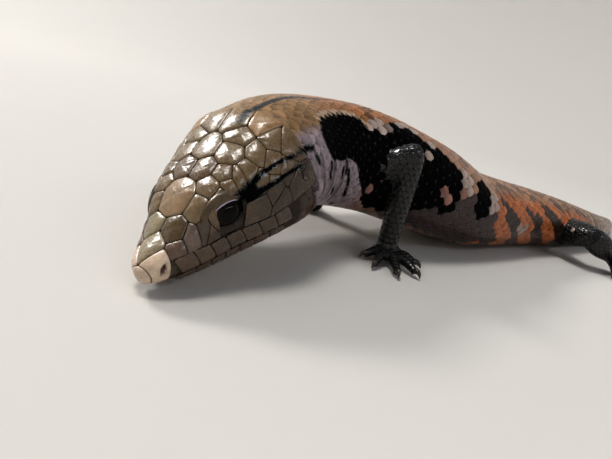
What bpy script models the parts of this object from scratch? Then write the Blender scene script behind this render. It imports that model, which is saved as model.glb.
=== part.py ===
# A blue-tongued skink, life size, lying on its belly with its front raised on the forelegs.
# Lengths are in millimetres until a mesh is made, and metres after that.
# World axes: +Z is up, the trunk faces -X, and the animal's left side faces -Y.
# The origin lies on the ground under the middle of the trunk.
import bmesh
import bpy
import math
import numpy as np

MM = 0.001
GAP = 0.3            # clear space between two neighbouring solids
BELLY_SINK = 1.2     # how far the round belly is pressed flat by the ground

# Stations along the spine, measured from the tip of the snout
BODY_LENGTH = 510.0
TRUNK_MIDDLE = 190.0
NECK_START = 59.0
TRUNK_START = 98.0
TRUNK_SPLIT = 195.0
TAIL_START = 298.0
TAIL_MIDDLE = 368.0
TAIL_TIP = 442.0
BELLY_REST = 200.0   # the belly lies on the ground from here back

# Cross-sections: station, and half width or height above or below the spine
HALF_WIDTH = [(0, 0.2), (0.6, 1.9), (1.7, 3.3), (3.5, 4.8), (9, 8.1), (23, 13.5), (38.5, 20.2), (50.5, 22.8),
              (61, 24.0), (77, 23.0), (110, 26.0), (150, 30.5), (190, 32.0), (240, 28.5), (280, 22.0),
              (300, 18.0), (330, 14.5), (400, 9.5), (480, 3.8), (510, 1.2)]
TOP_HEIGHT = [(0, 0.2), (0.6, 2.0), (1.7, 3.1), (3.7, 4.0), (9, 5.4), (23, 12.4), (38.5, 17.9), (55, 22.6),
              (77, 22.3), (110, 22.5), (150, 22.8), (190, 18.8), (240, 15.2), (280, 14.6), (300, 14.0),
              (330, 12.0), (400, 8.0), (480, 3.3), (510, 1.2)]
BOTTOM_HEIGHT = [(0, 0.2), (0.6, 2.0), (1.7, 3.3), (3.7, 4.7), (9, 7.2), (23, 12.0), (38.5, 15.4), (55, 18.6),
                 (77, 18.6), (110, 20.0), (150, 20.5), (190, 20.0), (240, 18.5), (280, 15.5), (300, 13.5),
                 (330, 11.5), (400, 7.5), (480, 3.2), (510, 1.2)]
# How square a section is: 2 is an ellipse, more is boxier
TOP_SQUARENESS = [(0, 2.0), (11, 2.3), (26, 2.6), (41, 2.5), (65, 2.2), (150, 2.15), (510, 2.0)]
BOTTOM_SQUARENESS = [(0, 2.0), (28, 2.2), (55, 2.3), (150, 2.3), (330, 2.1), (510, 2.0)]

# The pose: heading to the animal's left, pitch of the nose upwards, and roll lifting the left side
HEADING = [(0, 30.5), (55, 30.5), (80, 16.4), (110, -4.4), (190, 0), (240, -7.6), (280, -11.2), (310, -2),
           (345, 9), (420, 14), (510, 30)]
PITCH = [(0, -24.9), (50, -24.9), (75, -4.7), (100, -0.2), (130, 11.5), (170, 12.7), (200, 0), (510, 0)]
ROLL = [(0, 16.7), (55, 16.7), (80, 3.6), (110, 0), (510, 0)]

# The mouth: height of its line against the spine at stations of the head
MOUTH_LINE = [(0, -2.6), (9, -3.6), (18.5, -4.6), (27.5, -5.9), (37.5, -6.7), (46, -6.0)]
JAW_FRONT = 3.9
JAW_END = 45.0

EYE_STATION = 23.9
EYE_ANGLE = 19.7       # degrees above the side of the head
EYE_RADIUS = 4.6
EYE_SUNK = 3.0
LID_LENGTH = 5.0
LID_HEIGHT = 4.1
LID_THICK = 0.95
EAR_STATION = 53.4
EAR_ANGLE = -8.0
NOSTRIL_STATION = 3.9
NOSTRIL_ANGLE = 13.0

# Bulges of the head: station, angle, reach along, reach around in degrees, height
BULGES = [("brow", 24.8, 48, 8.3, 16, 1.2), ("socket", 24.8, 16, 5.5, 12, -0.8), ("cheek", 48, -22, 10, 26, 1.4)]

# Large head shields: distance from the snout over the crown, distance to the side, and weight
MIDDLE_SHIELDS = [("frontonasal", 9.4, 0.6), ("frontal", 24.2, 4.4), ("interparietal", 41.5, 1.0)]
PAIRED_SHIELDS = [("nasal", 5.6, 5.9, 0), ("postnasal", 10.6, 8.2, 0), ("prefrontal", 14.8, 4.2, 0.5),
                  ("loreal", 15.0, 10.4, 0), ("preocular", 19.6, 13.0, 0),
                  ("first_supraocular", 22.6, 8.2, 1.0), ("second_supraocular", 28.8, 8.8, 1.0),
                  ("third_supraocular", 33.8, 10.8, 0), ("frontoparietal", 34.2, 3.5, 0),
                  ("parietal", 41.2, 8.8, 2.0), ("rear_parietal", 47.4, 8.6, 0), ("nuchal", 53.4, 4.6, 1.5),
                  ("outer_nuchal", 54.0, 12.4, 0), ("first_temporal", 38.6, 16.0, 0),
                  ("second_temporal", 44.6, 15.6, 0), ("third_temporal", 51.2, 17.6, 0),
                  ("fourth_temporal", 46.6, 20.6, 0), ("fifth_temporal", 39.2, 20.8, 0),
                  ("sixth_temporal", 54.0, 22.8, 0), ("cheek", 42.2, 25.4, 0), ("rear_cheek", 49.4, 25.8, 0),
                  ("low_cheek", 36.4, 25.6, 0), ("jowl", 42.6, 31.2, 0), ("rear_jowl", 50.4, 31.6, 0)]
SHIELD_REACH = 14.0    # no shield reaches further than this from its centre
BROW_SHIELDS = 5
BROW_MIDDLE = 27.8     # distance of the eye from the snout over the crown
BROW_LIFT = 13.2       # distance of the brow shields from the middle of the crown
BROW_SPREAD = 7.7      # half the length of the row of brow shields
BROW_BEND = 1.5        # how far its ends lie below its middle
EYE_LIFT = 17.8        # distance of the eye from the middle of the crown
UPPER_LIPS = 7
LOWER_LIPS = 7
UPPER_LIP_START = 8.4
UPPER_LIP_END = 44.5
UPPER_LIP_HEIGHT = 5.2
LOWER_LIP_START = 8.4
LOWER_LIP_END = 42.5
LOWER_LIP_HEIGHT = 4.2
LIP_EDGE = 1.0         # bare rim between a lip plate and the mouth
LIP_ROOT = 0.8
LIP_LEAN = 1.2         # how far the far end of a lip plate leans back
SHIELD_GAP = 0.5
SHIELD_RISE = 0.55
SHIELD_DOME = 0.1      # extra rise in the middle
SHIELD_ROOT = 1.3
SHIELD_BEVEL = 0.5
SHIELD_EDGE = 6.5      # longer edges get points between
SHIELD_CORNER = 0.5    # closer corners are merged
SHIELD_CORE = 0.45     # share of the outline where the dome starts
DOMED_FROM = 3.6       # smaller plates have no dome
ROSTRAL_REACH = 2.9
CROWN_END = 58.5
TRIM_REACH = 34.0      # how far along the body a leg is fitted to its flank

# Pits of the head: half sizes inwards, along and upwards
NOSTRIL_PIT = (1.6, 0.9, 0.75)
EAR_PIT = (3.0, 1.7, 2.7)
LID_LEVEL = 0.1        # height of the lid rim over the skin at the corners of the eye
LID_ARCH = 0.6         # how much higher it is above and below the eye

# Feet
PALM_SIZE = (4.2, 6.4, 6.4)    # half height, half length and half width
PALM_LIFT = 0.6
FOOT_FLATNESS = 0.8
DIGIT_START = 2.5      # distance of a digit's base from the middle of the palm
DIGIT_BASE = 2.3
DIGIT_TIP = 1.45
CLAW_RADII = (1.1, 1.0, 0.65, 0.2)
CLAW_PATH = ((-1.2, 0.5), (1.0, 0.7), (2.1, -0.1), (2.9, -1.4))    # forwards and upwards from the tip
CLAW_LOWEST = 0.25
LEG_INSET = 8.0        # elbows and palms are measured from this far inside the flank
LEG_BULGE = 1.5        # outward swell of an upper leg


def smooth_curve(stations):
    """A smooth curve through (position, value) pairs that never overshoots them."""
    xs, ys = np.array(stations, float).T
    step = np.diff(xs)
    slope = np.diff(ys) / step
    tangent = np.zeros_like(ys)
    tangent[0], tangent[-1] = slope[0], slope[-1]
    for i in range(1, len(xs) - 1):
        if slope[i - 1] * slope[i] > 0:
            near = 2 * step[i] + step[i - 1]
            far = step[i] + 2 * step[i - 1]
            tangent[i] = (near + far) / (near / slope[i - 1] + far / slope[i])

    def curve(x):
        x = np.asarray(x, float)
        i = np.clip(np.searchsorted(xs, x) - 1, 0, len(xs) - 2)
        t = np.clip((x - xs[i]) / step[i], 0, 1)
        start = (2 * t**3 - 3 * t**2 + 1) * ys[i] + (t**3 - 2 * t**2 + t) * step[i] * tangent[i]
        end = (-2 * t**3 + 3 * t**2) * ys[i + 1] + (t**3 - t**2) * step[i] * tangent[i + 1]
        return start + end
    return curve


half_width = smooth_curve(HALF_WIDTH)
top_height = smooth_curve(TOP_HEIGHT)
bottom_height = smooth_curve(BOTTOM_HEIGHT)
top_squareness = smooth_curve(TOP_SQUARENESS)
bottom_squareness = smooth_curve(BOTTOM_SQUARENESS)
mouth_line = smooth_curve(MOUTH_LINE)


def lay_spine(samples=511):
    """Centres and axes (forward, left, up) of the body at even stations from snout to tail tip."""
    s = np.linspace(0, BODY_LENGTH, samples)
    yaw = np.radians(smooth_curve(HEADING)(s))
    pitch = np.radians(smooth_curve(PITCH)(s))
    roll = np.radians(smooth_curve(ROLL)(s))
    forward = np.stack([-np.cos(yaw) * np.cos(pitch), -np.sin(yaw) * np.cos(pitch), np.sin(pitch)], 1)
    step = s[1] - s[0]
    middle = np.argmin(abs(s - TRUNK_MIDDLE))
    walk = np.zeros((samples, 3))
    walk[1:] = -np.cumsum(0.5 * (forward[1:] + forward[:-1]) * step, 0)
    centre = walk - walk[middle]
    on_ground = bottom_height(s) - BELLY_SINK
    rest = np.argmin(abs(s - BELLY_REST))
    centre[:rest, 2] += on_ground[rest] - centre[rest, 2]
    centre[rest:, 2] = on_ground[rest:]
    forward = -np.gradient(centre, s, axis=0)
    forward /= np.linalg.norm(forward, axis=1)[:, None]
    left = np.cross([0, 0, 1.0], forward)
    left /= np.linalg.norm(left, axis=1)[:, None]
    up = np.cross(forward, left)
    c, n = np.cos(roll)[:, None], np.sin(roll)[:, None]
    return s, centre, forward, left * c + up * n, up * c - left * n


SPINE_S, SPINE_CENTRE, SPINE_FORWARD, SPINE_LEFT, SPINE_UP = lay_spine()


def along_spine(values, s):
    """Values of the spine at any station."""
    return np.stack([np.interp(s, SPINE_S, values[:, k]) for k in range(3)], -1)


def section(s, angle):
    """Sideways and upward offset of the skin from the spine; angle in degrees, 90 is the crown."""
    a = np.radians(angle)
    c, n = np.cos(a), np.sin(a)
    upper = n > 0
    power = np.where(upper, top_squareness(s), bottom_squareness(s))
    height = np.where(upper, top_height(s), bottom_height(s))
    side = half_width(s) * np.sign(c) * np.abs(c)**(2 / power)
    rise = height * np.sign(n) * np.abs(n)**(2 / power)
    folded = np.degrees(np.arctan2(n, np.abs(c)))
    swell = np.zeros_like(side)
    for name, at, turn, reach, spread, size in BULGES:
        swell = swell + size * np.exp(-((s - at) / reach)**2 - ((folded - turn) / spread)**2)
    length = np.sqrt(side**2 + rise**2) + 1e-9
    return side * (1 + swell / length), rise * (1 + swell / length)


def place(s, side, rise):
    """A world point at a station, so far to the left of the spine and above it."""
    centre = along_spine(SPINE_CENTRE, s)
    left = along_spine(SPINE_LEFT, s)
    up = along_spine(SPINE_UP, s)
    return centre + left * np.asarray(side)[..., None] + up * np.asarray(rise)[..., None]


def skin_point(s, angle, lift=0.0):
    """A point of the skin, or lifted off it along its normal."""
    s, angle = np.broadcast_arrays(np.asarray(s, float), np.asarray(angle, float))
    point = place(s, *section(s, angle))
    ahead, behind = np.maximum(s - 0.2, 0), s + 0.2
    along = place(behind, *section(behind, angle)) - place(ahead, *section(ahead, angle))
    around = place(s, *section(s, angle + 0.5)) - place(s, *section(s, angle - 0.5))
    normal = np.cross(along, around)
    normal /= np.linalg.norm(normal, axis=-1)[..., None] + 1e-12
    return point + normal * np.asarray(lift)[..., None], normal


def crown_tables():
    """Tables that turn distances over the crown and down its side into a station and an angle."""
    s = np.concatenate([np.linspace(0, 4, 41)[:-1], np.linspace(4, 70, 133)])
    side, rise = section(s, np.full_like(s, 90.0))
    over = np.concatenate([[0], np.cumsum(np.hypot(np.diff(s), np.diff(rise)))])
    angle = np.linspace(90, -90, 181)
    side, rise = section(s[:, None], angle[None, :])
    down = np.cumsum(np.hypot(np.diff(side, axis=1), np.diff(rise, axis=1)), 1)
    down = np.concatenate([np.zeros((len(s), 1)), down], 1)
    return s, over, angle, down


CROWN_S, CROWN_OVER, CROWN_ANGLE, CROWN_DOWN = crown_tables()


def crown_to_skin(over, aside):
    """Station and angle of the point so far from the snout over the crown and so far to the left."""
    s = np.interp(over, CROWN_OVER, CROWN_S)
    row = np.interp(s, CROWN_S, np.arange(len(CROWN_S)))
    low = np.floor(row).astype(int)
    high = np.minimum(low + 1, len(CROWN_S) - 1)
    angle = []
    for a, b, part, y in zip(low, high, row - low, np.abs(aside)):
        down = CROWN_DOWN[a] * (1 - part) + CROWN_DOWN[b] * part
        angle.append(np.interp(y, down, CROWN_ANGLE))
    angle = np.array(angle)
    return s, np.where(np.asarray(aside) >= 0, angle, 180 - angle)


def lip_distance(over):
    """Distance from the middle of the crown down to the line of the mouth."""
    s = float(np.interp(over, CROWN_OVER, CROWN_S))
    angle = CROWN_ANGLE
    rise = section(np.full_like(angle, s), angle)[1]
    row = int(round(float(np.interp(s, CROWN_S, np.arange(len(CROWN_S))))))
    return float(np.interp(-mouth_line(s), -rise, CROWN_DOWN[row]))


def material(name, colour, roughness, metallic=0.0):
    made = bpy.data.materials.new(name)
    made.use_nodes = True
    shader = made.node_tree.nodes["Principled BSDF"]
    shader.inputs["Base Color"].default_value = (*colour, 1)
    shader.inputs["Roughness"].default_value = roughness
    shader.inputs["Metallic"].default_value = metallic
    return made


def mesh_object(name, points, faces, look=None):
    """A named object from points in millimetres, with its faces turned outwards."""
    mesh = bpy.data.meshes.new(name)
    mesh.from_pydata([tuple(p * MM) for p in np.asarray(points)], [], faces)
    made = bpy.data.objects.new(name, mesh)
    bpy.context.scene.collection.objects.link(made)
    work = bmesh.new()
    work.from_mesh(mesh)
    bmesh.ops.recalc_face_normals(work, faces=work.faces)
    if work.calc_volume(signed=True) < 0:
        bmesh.ops.reverse_faces(work, faces=work.faces)
    work.to_mesh(mesh)
    work.free()
    if look is not None:
        mesh.materials.append(look)
    return made


def skin_over(rings, name, look=None):
    """A closed solid through rings of equal count, with flat ends."""
    rings = [np.asarray(r, float) for r in rings]
    count = len(rings[0])
    points = list(np.concatenate(rings))
    faces = []
    for i in range(len(rings) - 1):
        for j in range(count):
            k = (j + 1) % count
            faces.append((i * count + j, i * count + k, (i + 1) * count + k, (i + 1) * count + j))
    for i in (0, len(rings) - 1):
        middle = len(points)
        points.append(rings[i].mean(0))
        for j in range(count):
            faces.append((i * count + j, i * count + (j + 1) % count, middle))
    return mesh_object(name, points, faces, look)


def body_rings(stations, count, swell=0.0):
    """Rings of the body at the stations, kept above the ground, or swollen and left round."""
    angle = np.arange(count) * 360.0 / count + 90.0
    rings = []
    for s in stations:
        side, rise = section(np.full(count, float(s)), angle)
        length = np.hypot(side, rise) + 1e-9
        ring = place(np.full(count, float(s)), side * (1 + swell / length), rise * (1 + swell / length))
        if swell == 0.0:
            ring[:, 2] = np.maximum(ring[:, 2], 0)
        rings.append(ring)
    return rings


def even_stations(start, end, pieces):
    return list(np.linspace(start + GAP / 2, end - GAP / 2, pieces + 1))


def join(base, additions, mode="UNION"):
    """Fuse closed pieces with a base, or cut them out of it, and keep its largest closed body."""
    group = bpy.data.collections.new(base.name + "_pieces")
    bpy.context.scene.collection.children.link(group)
    for piece in additions:
        bpy.context.scene.collection.objects.unlink(piece)
        group.objects.link(piece)
    tool = base.modifiers.new("join", "BOOLEAN")
    tool.operation = mode
    tool.operand_type = "COLLECTION"
    tool.collection = group
    tool.solver = "MANIFOLD"
    bpy.context.view_layer.update()
    result = bpy.data.meshes.new_from_object(base.evaluated_get(bpy.context.evaluated_depsgraph_get()))
    base.modifiers.clear()
    base.data = result
    for piece in additions:
        bpy.data.objects.remove(piece)
    bpy.data.collections.remove(group)
    keep_largest(base)
    return base


def keep_largest(base):
    """Drop every loose scrap and sealed hollow but the largest closed surface."""
    work = bmesh.new()
    work.from_mesh(base.data)
    bmesh.ops.triangulate(work, faces=work.faces)
    left = set(work.faces)
    groups = []
    while left:
        seed = left.pop()
        group, edge = {seed}, [seed]
        while edge:
            face = edge.pop()
            for side in face.edges:
                for near in side.link_faces:
                    if near in left:
                        left.discard(near)
                        group.add(near)
                        edge.append(near)
        groups.append(group)

    def extent(group):
        points = np.array([v.co for f in group for v in f.verts])
        return float(np.prod(np.ptp(points, axis=0)))
    groups.sort(key=extent, reverse=True)
    scraps = [f for group in groups[1:] for f in group]
    bmesh.ops.delete(work, geom=scraps, context="FACES")
    loose = [v for v in work.verts if not v.link_faces]
    bmesh.ops.delete(work, geom=loose, context="VERTS")
    work.to_mesh(base.data)
    work.free()


def clip(polygon, point, normal):
    """The part of a convex polygon on the inner side of a line."""
    kept = []
    for a, b in zip(polygon, polygon[1:] + polygon[:1]):
        da = (a[0] - point[0]) * normal[0] + (a[1] - point[1]) * normal[1]
        db = (b[0] - point[0]) * normal[0] + (b[1] - point[1]) * normal[1]
        if da <= 0:
            kept.append(a)
        if (da < 0 < db) or (db < 0 < da):
            t = da / (da - db)
            kept.append((a[0] + (b[0] - a[0]) * t, a[1] + (b[1] - a[1]) * t))
    return kept


def shrink(polygon, distance):
    """A convex polygon with every edge moved inwards."""
    area = sum(a[0] * b[1] - a[1] * b[0] for a, b in zip(polygon, polygon[1:] + polygon[:1]))
    turn = 1.0 if area > 0 else -1.0
    result = list(polygon)
    for a, b in zip(polygon, polygon[1:] + polygon[:1]):
        dx, dy = b[0] - a[0], b[1] - a[1]
        length = math.hypot(dx, dy)
        if length < 1e-6:
            continue
        normal = (turn * dy / length, -turn * dx / length)
        result = clip(result, (a[0] - normal[0] * distance, a[1] - normal[1] * distance), normal)
        if len(result) < 3:
            return []
    return result


def divide_edges(polygon, longest=SHIELD_EDGE):
    """The corners of a polygon with extra points on its long edges, and close corners merged."""
    merged = []
    for p in polygon:
        if not merged or math.dist(p, merged[-1]) > SHIELD_CORNER:
            merged.append(p)
    if math.dist(merged[0], merged[-1]) < SHIELD_CORNER:
        merged.pop()
    divided = []
    for a, b in zip(merged, merged[1:] + merged[:1]):
        parts = max(1, math.ceil(math.dist(a, b) / longest))
        divided += [(a[0] + (b[0] - a[0]) * k / parts, a[1] + (b[1] - a[1]) * k / parts) for k in range(parts)]
    return np.array(divided)


def shield_solid(outline, name, root=SHIELD_ROOT):
    """A low plate with bevelled edges, rooted under the skin, over an outline on the crown."""
    middle = outline.mean(0)
    span = np.linalg.norm(outline - middle, axis=1).min()
    inner = middle + (outline - middle) * max(0.6, 1 - SHIELD_BEVEL / span)
    core = middle + (outline - middle) * SHIELD_CORE
    count = len(outline)
    points, faces = [], []
    levels = [(outline, -root), (inner, SHIELD_RISE)]
    if span > DOMED_FROM:
        levels.append((core, SHIELD_RISE + SHIELD_DOME))
    for ring, lift in levels:
        s, angle = crown_to_skin(ring[:, 0], ring[:, 1])
        points += list(skin_point(s, angle, np.full(count, lift))[0])
    for i in range(len(levels) - 1):
        for j in range(count):
            k = (j + 1) % count
            faces.append((i * count + j, i * count + k, (i + 1) * count + k, (i + 1) * count + j))
    s, angle = crown_to_skin(middle[None, 0], middle[None, 1])
    for base, lift in ((0, -root - GAP), (len(levels) - 1, SHIELD_RISE + SHIELD_DOME)):
        points.append(skin_point(s, angle, np.array([lift]))[0][0])
        top = len(points) - 1
        faces += [(base * count + j, base * count + (j + 1) % count, top) for j in range(count)]
    return mesh_object(name, points, faces)


def crown_outlines():
    """Outlines of the head shields as the cells that lie nearest to their centres."""
    seeds = [(name, x, 0.0, weight) for name, x, weight in MIDDLE_SHIELDS]
    for side in (1, -1):
        seeds += [(name, x, side * y, weight) for name, x, y, weight in PAIRED_SHIELDS]
        for i in range(BROW_SHIELDS):
            turn = (i / (BROW_SHIELDS - 1) - 0.5) * 2
            lift = BROW_LIFT + BROW_BEND * turn**2
            seeds.append((f"brow_{i}", BROW_MIDDLE + BROW_SPREAD * turn, side * lift, 0))
    outlines = []
    for name, x, y, weight in seeds:
        cell = [(x + i * SHIELD_REACH, y + j * SHIELD_REACH) for i, j in ((-1, -1), (1, -1), (1, 1), (-1, 1))]
        for other, ox, oy, oweight in seeds:
            if (ox, oy) == (x, y):
                continue
            dx, dy = ox - x, oy - y
            length = math.hypot(dx, dy)
            along = 0.5 * length + 0.5 * (weight**2 - oweight**2) / length
            normal = (dx / length, dy / length)
            cell = clip(cell, (x + normal[0] * along, y + normal[1] * along), normal)
        cell = clip(cell, (ROSTRAL_REACH, 0), (-1, 0))
        cell = clip(cell, (CROWN_END, 0), (1, 0))
        if y != 0:
            side = 1 if y > 0 else -1
            lip = UPPER_LIP_HEIGHT if x > UPPER_LIP_START else LIP_EDGE
            low, high = lip_distance(x - 3) - lip, lip_distance(x + 3) - lip
            way = np.array([6.0, high - low])
            way /= np.linalg.norm(way)
            cell = clip(cell, (x, side * (low + high) / 2), (-way[1], side * way[0]))
        cell = shrink(cell, SHIELD_GAP / 2) if len(cell) > 2 else []
        if len(cell) > 2:
            outlines.append((name, x, y, cell))
    return outlines


def lip_outlines(count, first, last, near, far, lean):
    """A row of plates along the mouth on both sides."""
    outlines = []
    edges = np.linspace(first, last, count + 1)
    for side in (1, -1):
        for i in range(count):
            a, b = edges[i] + SHIELD_GAP / 2, edges[i + 1] - SHIELD_GAP / 2
            corners = [(a, near), (b, near), (b + lean, far), (a + lean, far)]
            outlines.append([(x, side * (lip_distance(x) + y)) for x, y in corners])
    return outlines


def rostral_cap():
    """The plate over the tip of the snout, from its front rim to the mouth."""
    count = 16
    points, faces = [], []
    top = SHIELD_RISE + SHIELD_DOME
    levels = ((ROSTRAL_REACH - SHIELD_GAP, -SHIELD_ROOT), (ROSTRAL_REACH - 2 * SHIELD_GAP, SHIELD_RISE),
              (ROSTRAL_REACH / 2, top))
    angle = np.arange(count) * 360.0 / count + 90
    for over, lift in levels:
        s = np.full(count, float(np.interp(over, CROWN_OVER, CROWN_S)))
        ring = skin_point(s, angle, np.full(count, lift))[0]
        points += list(ring)
    for i in range(2):
        for j in range(count):
            k = (j + 1) % count
            faces.append((i * count + j, i * count + k, (i + 1) * count + k, (i + 1) * count + j))
    forward = along_spine(SPINE_FORWARD, np.array(0.0))
    points.append(along_spine(SPINE_CENTRE, np.array(0.0)) + forward * top)
    faces += [(2 * count + j, 2 * count + (j + 1) % count, len(points) - 1) for j in range(count)]
    points.append(along_spine(SPINE_CENTRE, np.array(4.0)))
    faces += [(j, (j + 1) % count, len(points) - 1) for j in range(count)]
    return mesh_object("rostral", points, faces)


def head_rings(stations, count, lower):
    """Rings of the head above the mouth line, or of the jaw below it."""
    angle = np.arange(count) * 360.0 / count + 90.0
    rings = []
    for s in stations:
        side, rise = section(np.full(count, float(s)), angle)
        if lower:
            rise = np.minimum(rise, mouth_line(s) - GAP / 2)
        elif s < JAW_END + GAP:
            rise = np.maximum(rise, mouth_line(s) + GAP / 2)
        rings.append(place(np.full(count, float(s)), side, rise))
    return rings


def eye_frame(side):
    """Centre of an eyeball and its axes: outwards, forwards along the lids, and upwards."""
    angle = EYE_ANGLE if side > 0 else 180 - EYE_ANGLE
    point, normal = skin_point(np.array(EYE_STATION), np.array(angle))
    forward = along_spine(SPINE_FORWARD, np.array(EYE_STATION))
    forward = forward - normal * (forward @ normal)
    forward /= np.linalg.norm(forward)
    above = np.cross(normal, forward)
    if above @ along_spine(SPINE_UP, np.array(EYE_STATION)) < 0:
        above = -above
    return point - normal * EYE_SUNK, normal, forward, above


def ball(centre, axes, radii, name, rows=8, count=16, look=None):
    """An ellipsoid with its pole along the first axis."""
    out, along, above = axes
    rings = []
    for i in range(rows + 1):
        turn = math.pi * (0.06 + 0.88 * i / rows)
        around = np.arange(count) * 2 * math.pi / count
        ring = (out * math.cos(turn) * radii[0])[None, :]
        ring = ring + np.outer(np.cos(around) * math.sin(turn) * radii[1], along)
        ring = ring + np.outer(np.sin(around) * math.sin(turn) * radii[2], above)
        rings.append(centre + ring)
    return skin_over(rings, name, look)


def lid_ring(side):
    """The thick rim of both lids around an eye, almond shaped."""
    centre, out, along, above = eye_frame(side)
    rim_count, tube_count = 16, 5
    points, faces = [], []
    for i in range(rim_count):
        t = 2 * math.pi * i / rim_count
        spread = along * math.cos(t) * LID_LENGTH + above * math.sin(t) * LID_HEIGHT
        height = EYE_SUNK + LID_LEVEL + LID_ARCH * math.sin(t)**2
        middle = centre + spread + out * height
        away = spread / np.linalg.norm(spread)
        for j in range(tube_count):
            u = 2 * math.pi * j / tube_count
            points.append(middle + (away * math.cos(u) + out * math.sin(u)) * LID_THICK)
    for i in range(rim_count):
        for j in range(tube_count):
            a, b = i * tube_count + j, i * tube_count + (j + 1) % tube_count
            c = ((i + 1) % rim_count) * tube_count
            faces.append((a, b, c + (j + 1) % tube_count, c + j))
    return mesh_object("lid", points, faces)


def build_head(look):
    stations = [0.0, 0.5, 1.3, 2.4, 4, 6.5, 9.5, 13, 17, 21, 25, 29, 33, 37, 41.5]
    stations += [JAW_END + GAP - 0.15, JAW_END + GAP + 0.1, 50, 54.5, NECK_START - GAP / 2]
    head = skin_over(head_rings(stations, 36, lower=False), "head", look)
    plates = [rostral_cap(), lid_ring(1), lid_ring(-1)]
    for name, x, y, cell in crown_outlines():
        if math.hypot(x - BROW_MIDDLE, abs(y) - EYE_LIFT) < LID_LENGTH:
            continue
        plates.append(shield_solid(divide_edges(cell), name))
    lips = lip_outlines(UPPER_LIPS, UPPER_LIP_START, UPPER_LIP_END, GAP - UPPER_LIP_HEIGHT, -LIP_EDGE, LIP_LEAN)
    for cell in lips:
        plates.append(shield_solid(divide_edges(cell), "upper_lip", LIP_ROOT))
    join(head, plates)
    cutters = []
    for side in (1, -1):
        centre, out, along, above = eye_frame(side)
        cutters.append(ball(centre, (out, along, above), [EYE_RADIUS + GAP] * 3, "socket"))
        for station, turn, radii in ((NOSTRIL_STATION, NOSTRIL_ANGLE, NOSTRIL_PIT),
                                     (EAR_STATION, EAR_ANGLE, EAR_PIT)):
            angle = turn if side > 0 else 180 - turn
            point, out = skin_point(np.array(station), np.array(angle))
            along = along_spine(SPINE_FORWARD, np.array(station))
            along = along - out * (along @ out)
            along /= np.linalg.norm(along)
            cutters.append(ball(point, (out, along, np.cross(out, along)), radii, "pit", 6, 10))
    return join(head, cutters, "DIFFERENCE")


def build_jaw(look):
    stations = [JAW_FRONT, 5.0, 6.8, 9.5, 13, 17, 21, 25, 29, 33, 37, 41.5, JAW_END - GAP]
    jaw = skin_over(head_rings(stations, 28, lower=True), "jaw", look)
    plates = []
    lips = lip_outlines(LOWER_LIPS, LOWER_LIP_START, LOWER_LIP_END, LIP_EDGE, LOWER_LIP_HEIGHT - GAP, LIP_LEAN)
    for cell in lips:
        plates.append(shield_solid(divide_edges(cell), "lower_lip", LIP_ROOT))
    return join(jaw, plates)


def limb_curve(points, samples=60):
    """A smooth path through a few joints of a limb."""
    points = np.array(points, float)
    knots = np.concatenate([[0], np.cumsum(np.linalg.norm(np.diff(points, axis=0), axis=1))])
    tangent = np.zeros_like(points)
    tangent[1:-1] = (points[2:] - points[:-2]) / (knots[2:] - knots[:-2])[:, None]
    tangent[0] = (points[1] - points[0]) / (knots[1] - knots[0])
    tangent[-1] = (points[-1] - points[-2]) / (knots[-1] - knots[-2])
    path = []
    for x in np.linspace(0, knots[-1], samples):
        i = min(np.searchsorted(knots, x, side="right") - 1, len(knots) - 2)
        h = knots[i + 1] - knots[i]
        t = (x - knots[i]) / h
        path.append((2 * t**3 - 3 * t**2 + 1) * points[i] + (t**3 - 2 * t**2 + t) * h * tangent[i]
                    + (3 * t**2 - 2 * t**3) * points[i + 1] + (t**3 - t**2) * h * tangent[i + 1])
    return np.array(path)


def tube_rings(path, radii, count, flatten=1.0):
    """Rings square to a path, with widths by the radii, kept above the ground."""
    way = np.gradient(path, axis=0)
    way /= np.linalg.norm(way, axis=1)[:, None]
    side = np.cross(way[0], [0, 0, 1.0])
    rings = []
    for p, w, r in zip(path, way, radii):
        side = side - w * (side @ w)
        side /= np.linalg.norm(side)
        over = np.cross(side, w)
        t = np.arange(count) * 2 * math.pi / count
        ring = p + r * (np.outer(np.cos(t), side) + flatten * np.outer(np.sin(t), over))
        ring[:, 2] = np.maximum(ring[:, 2], 0)
        rings.append(ring)
    return rings


# Legs: station, height and depth of the root in the body, then elbow or knee, wrist or ankle and palm
# as steps forwards, outwards and above the ground; thickness from root to palm; headings of the
# digits, in degrees from forwards to outwards, and their lengths
FRONT_LEG = dict(root_station=100.0, root_rise=-6.0, root_depth=13.0,
                 elbow=(-12.8, 12.5, 45.0), wrist=(-17.0, 10.5, 8.0), palm=(-18.5, 10.5, 3.0),
                 radii=(7.0, 5.2, 4.9, 4.5, 4.8), digits=(-5, 28, 60, 92, 132),
                 lengths=(8.5, 12.5, 14.5, 13.5, 9.5))
HIND_LEG = dict(root_station=272.0, root_rise=-3.0, root_depth=12.0,
                elbow=(9.0, 24.0, 19.0), wrist=(-13.0, 30.0, 8.0), palm=(-14.0, 36.0, 3.0),
                radii=(10.0, 8.0, 6.0, 4.4, 4.8), digits=(12, 38, 62, 88, 128),
                lengths=(8.0, 12.0, 15.0, 16.5, 11.0))


def leg_frame(station, side):
    """Centre of the body at a leg, with level directions forwards and outwards."""
    at = np.array(station)
    centre = along_spine(SPINE_CENTRE, at)
    forward = along_spine(SPINE_FORWARD, at) * [1, 1, 0]
    forward /= np.linalg.norm(forward)
    outward = along_spine(SPINE_LEFT, at) * [side, side, 0]
    outward /= np.linalg.norm(outward)
    return centre, forward, outward


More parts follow.
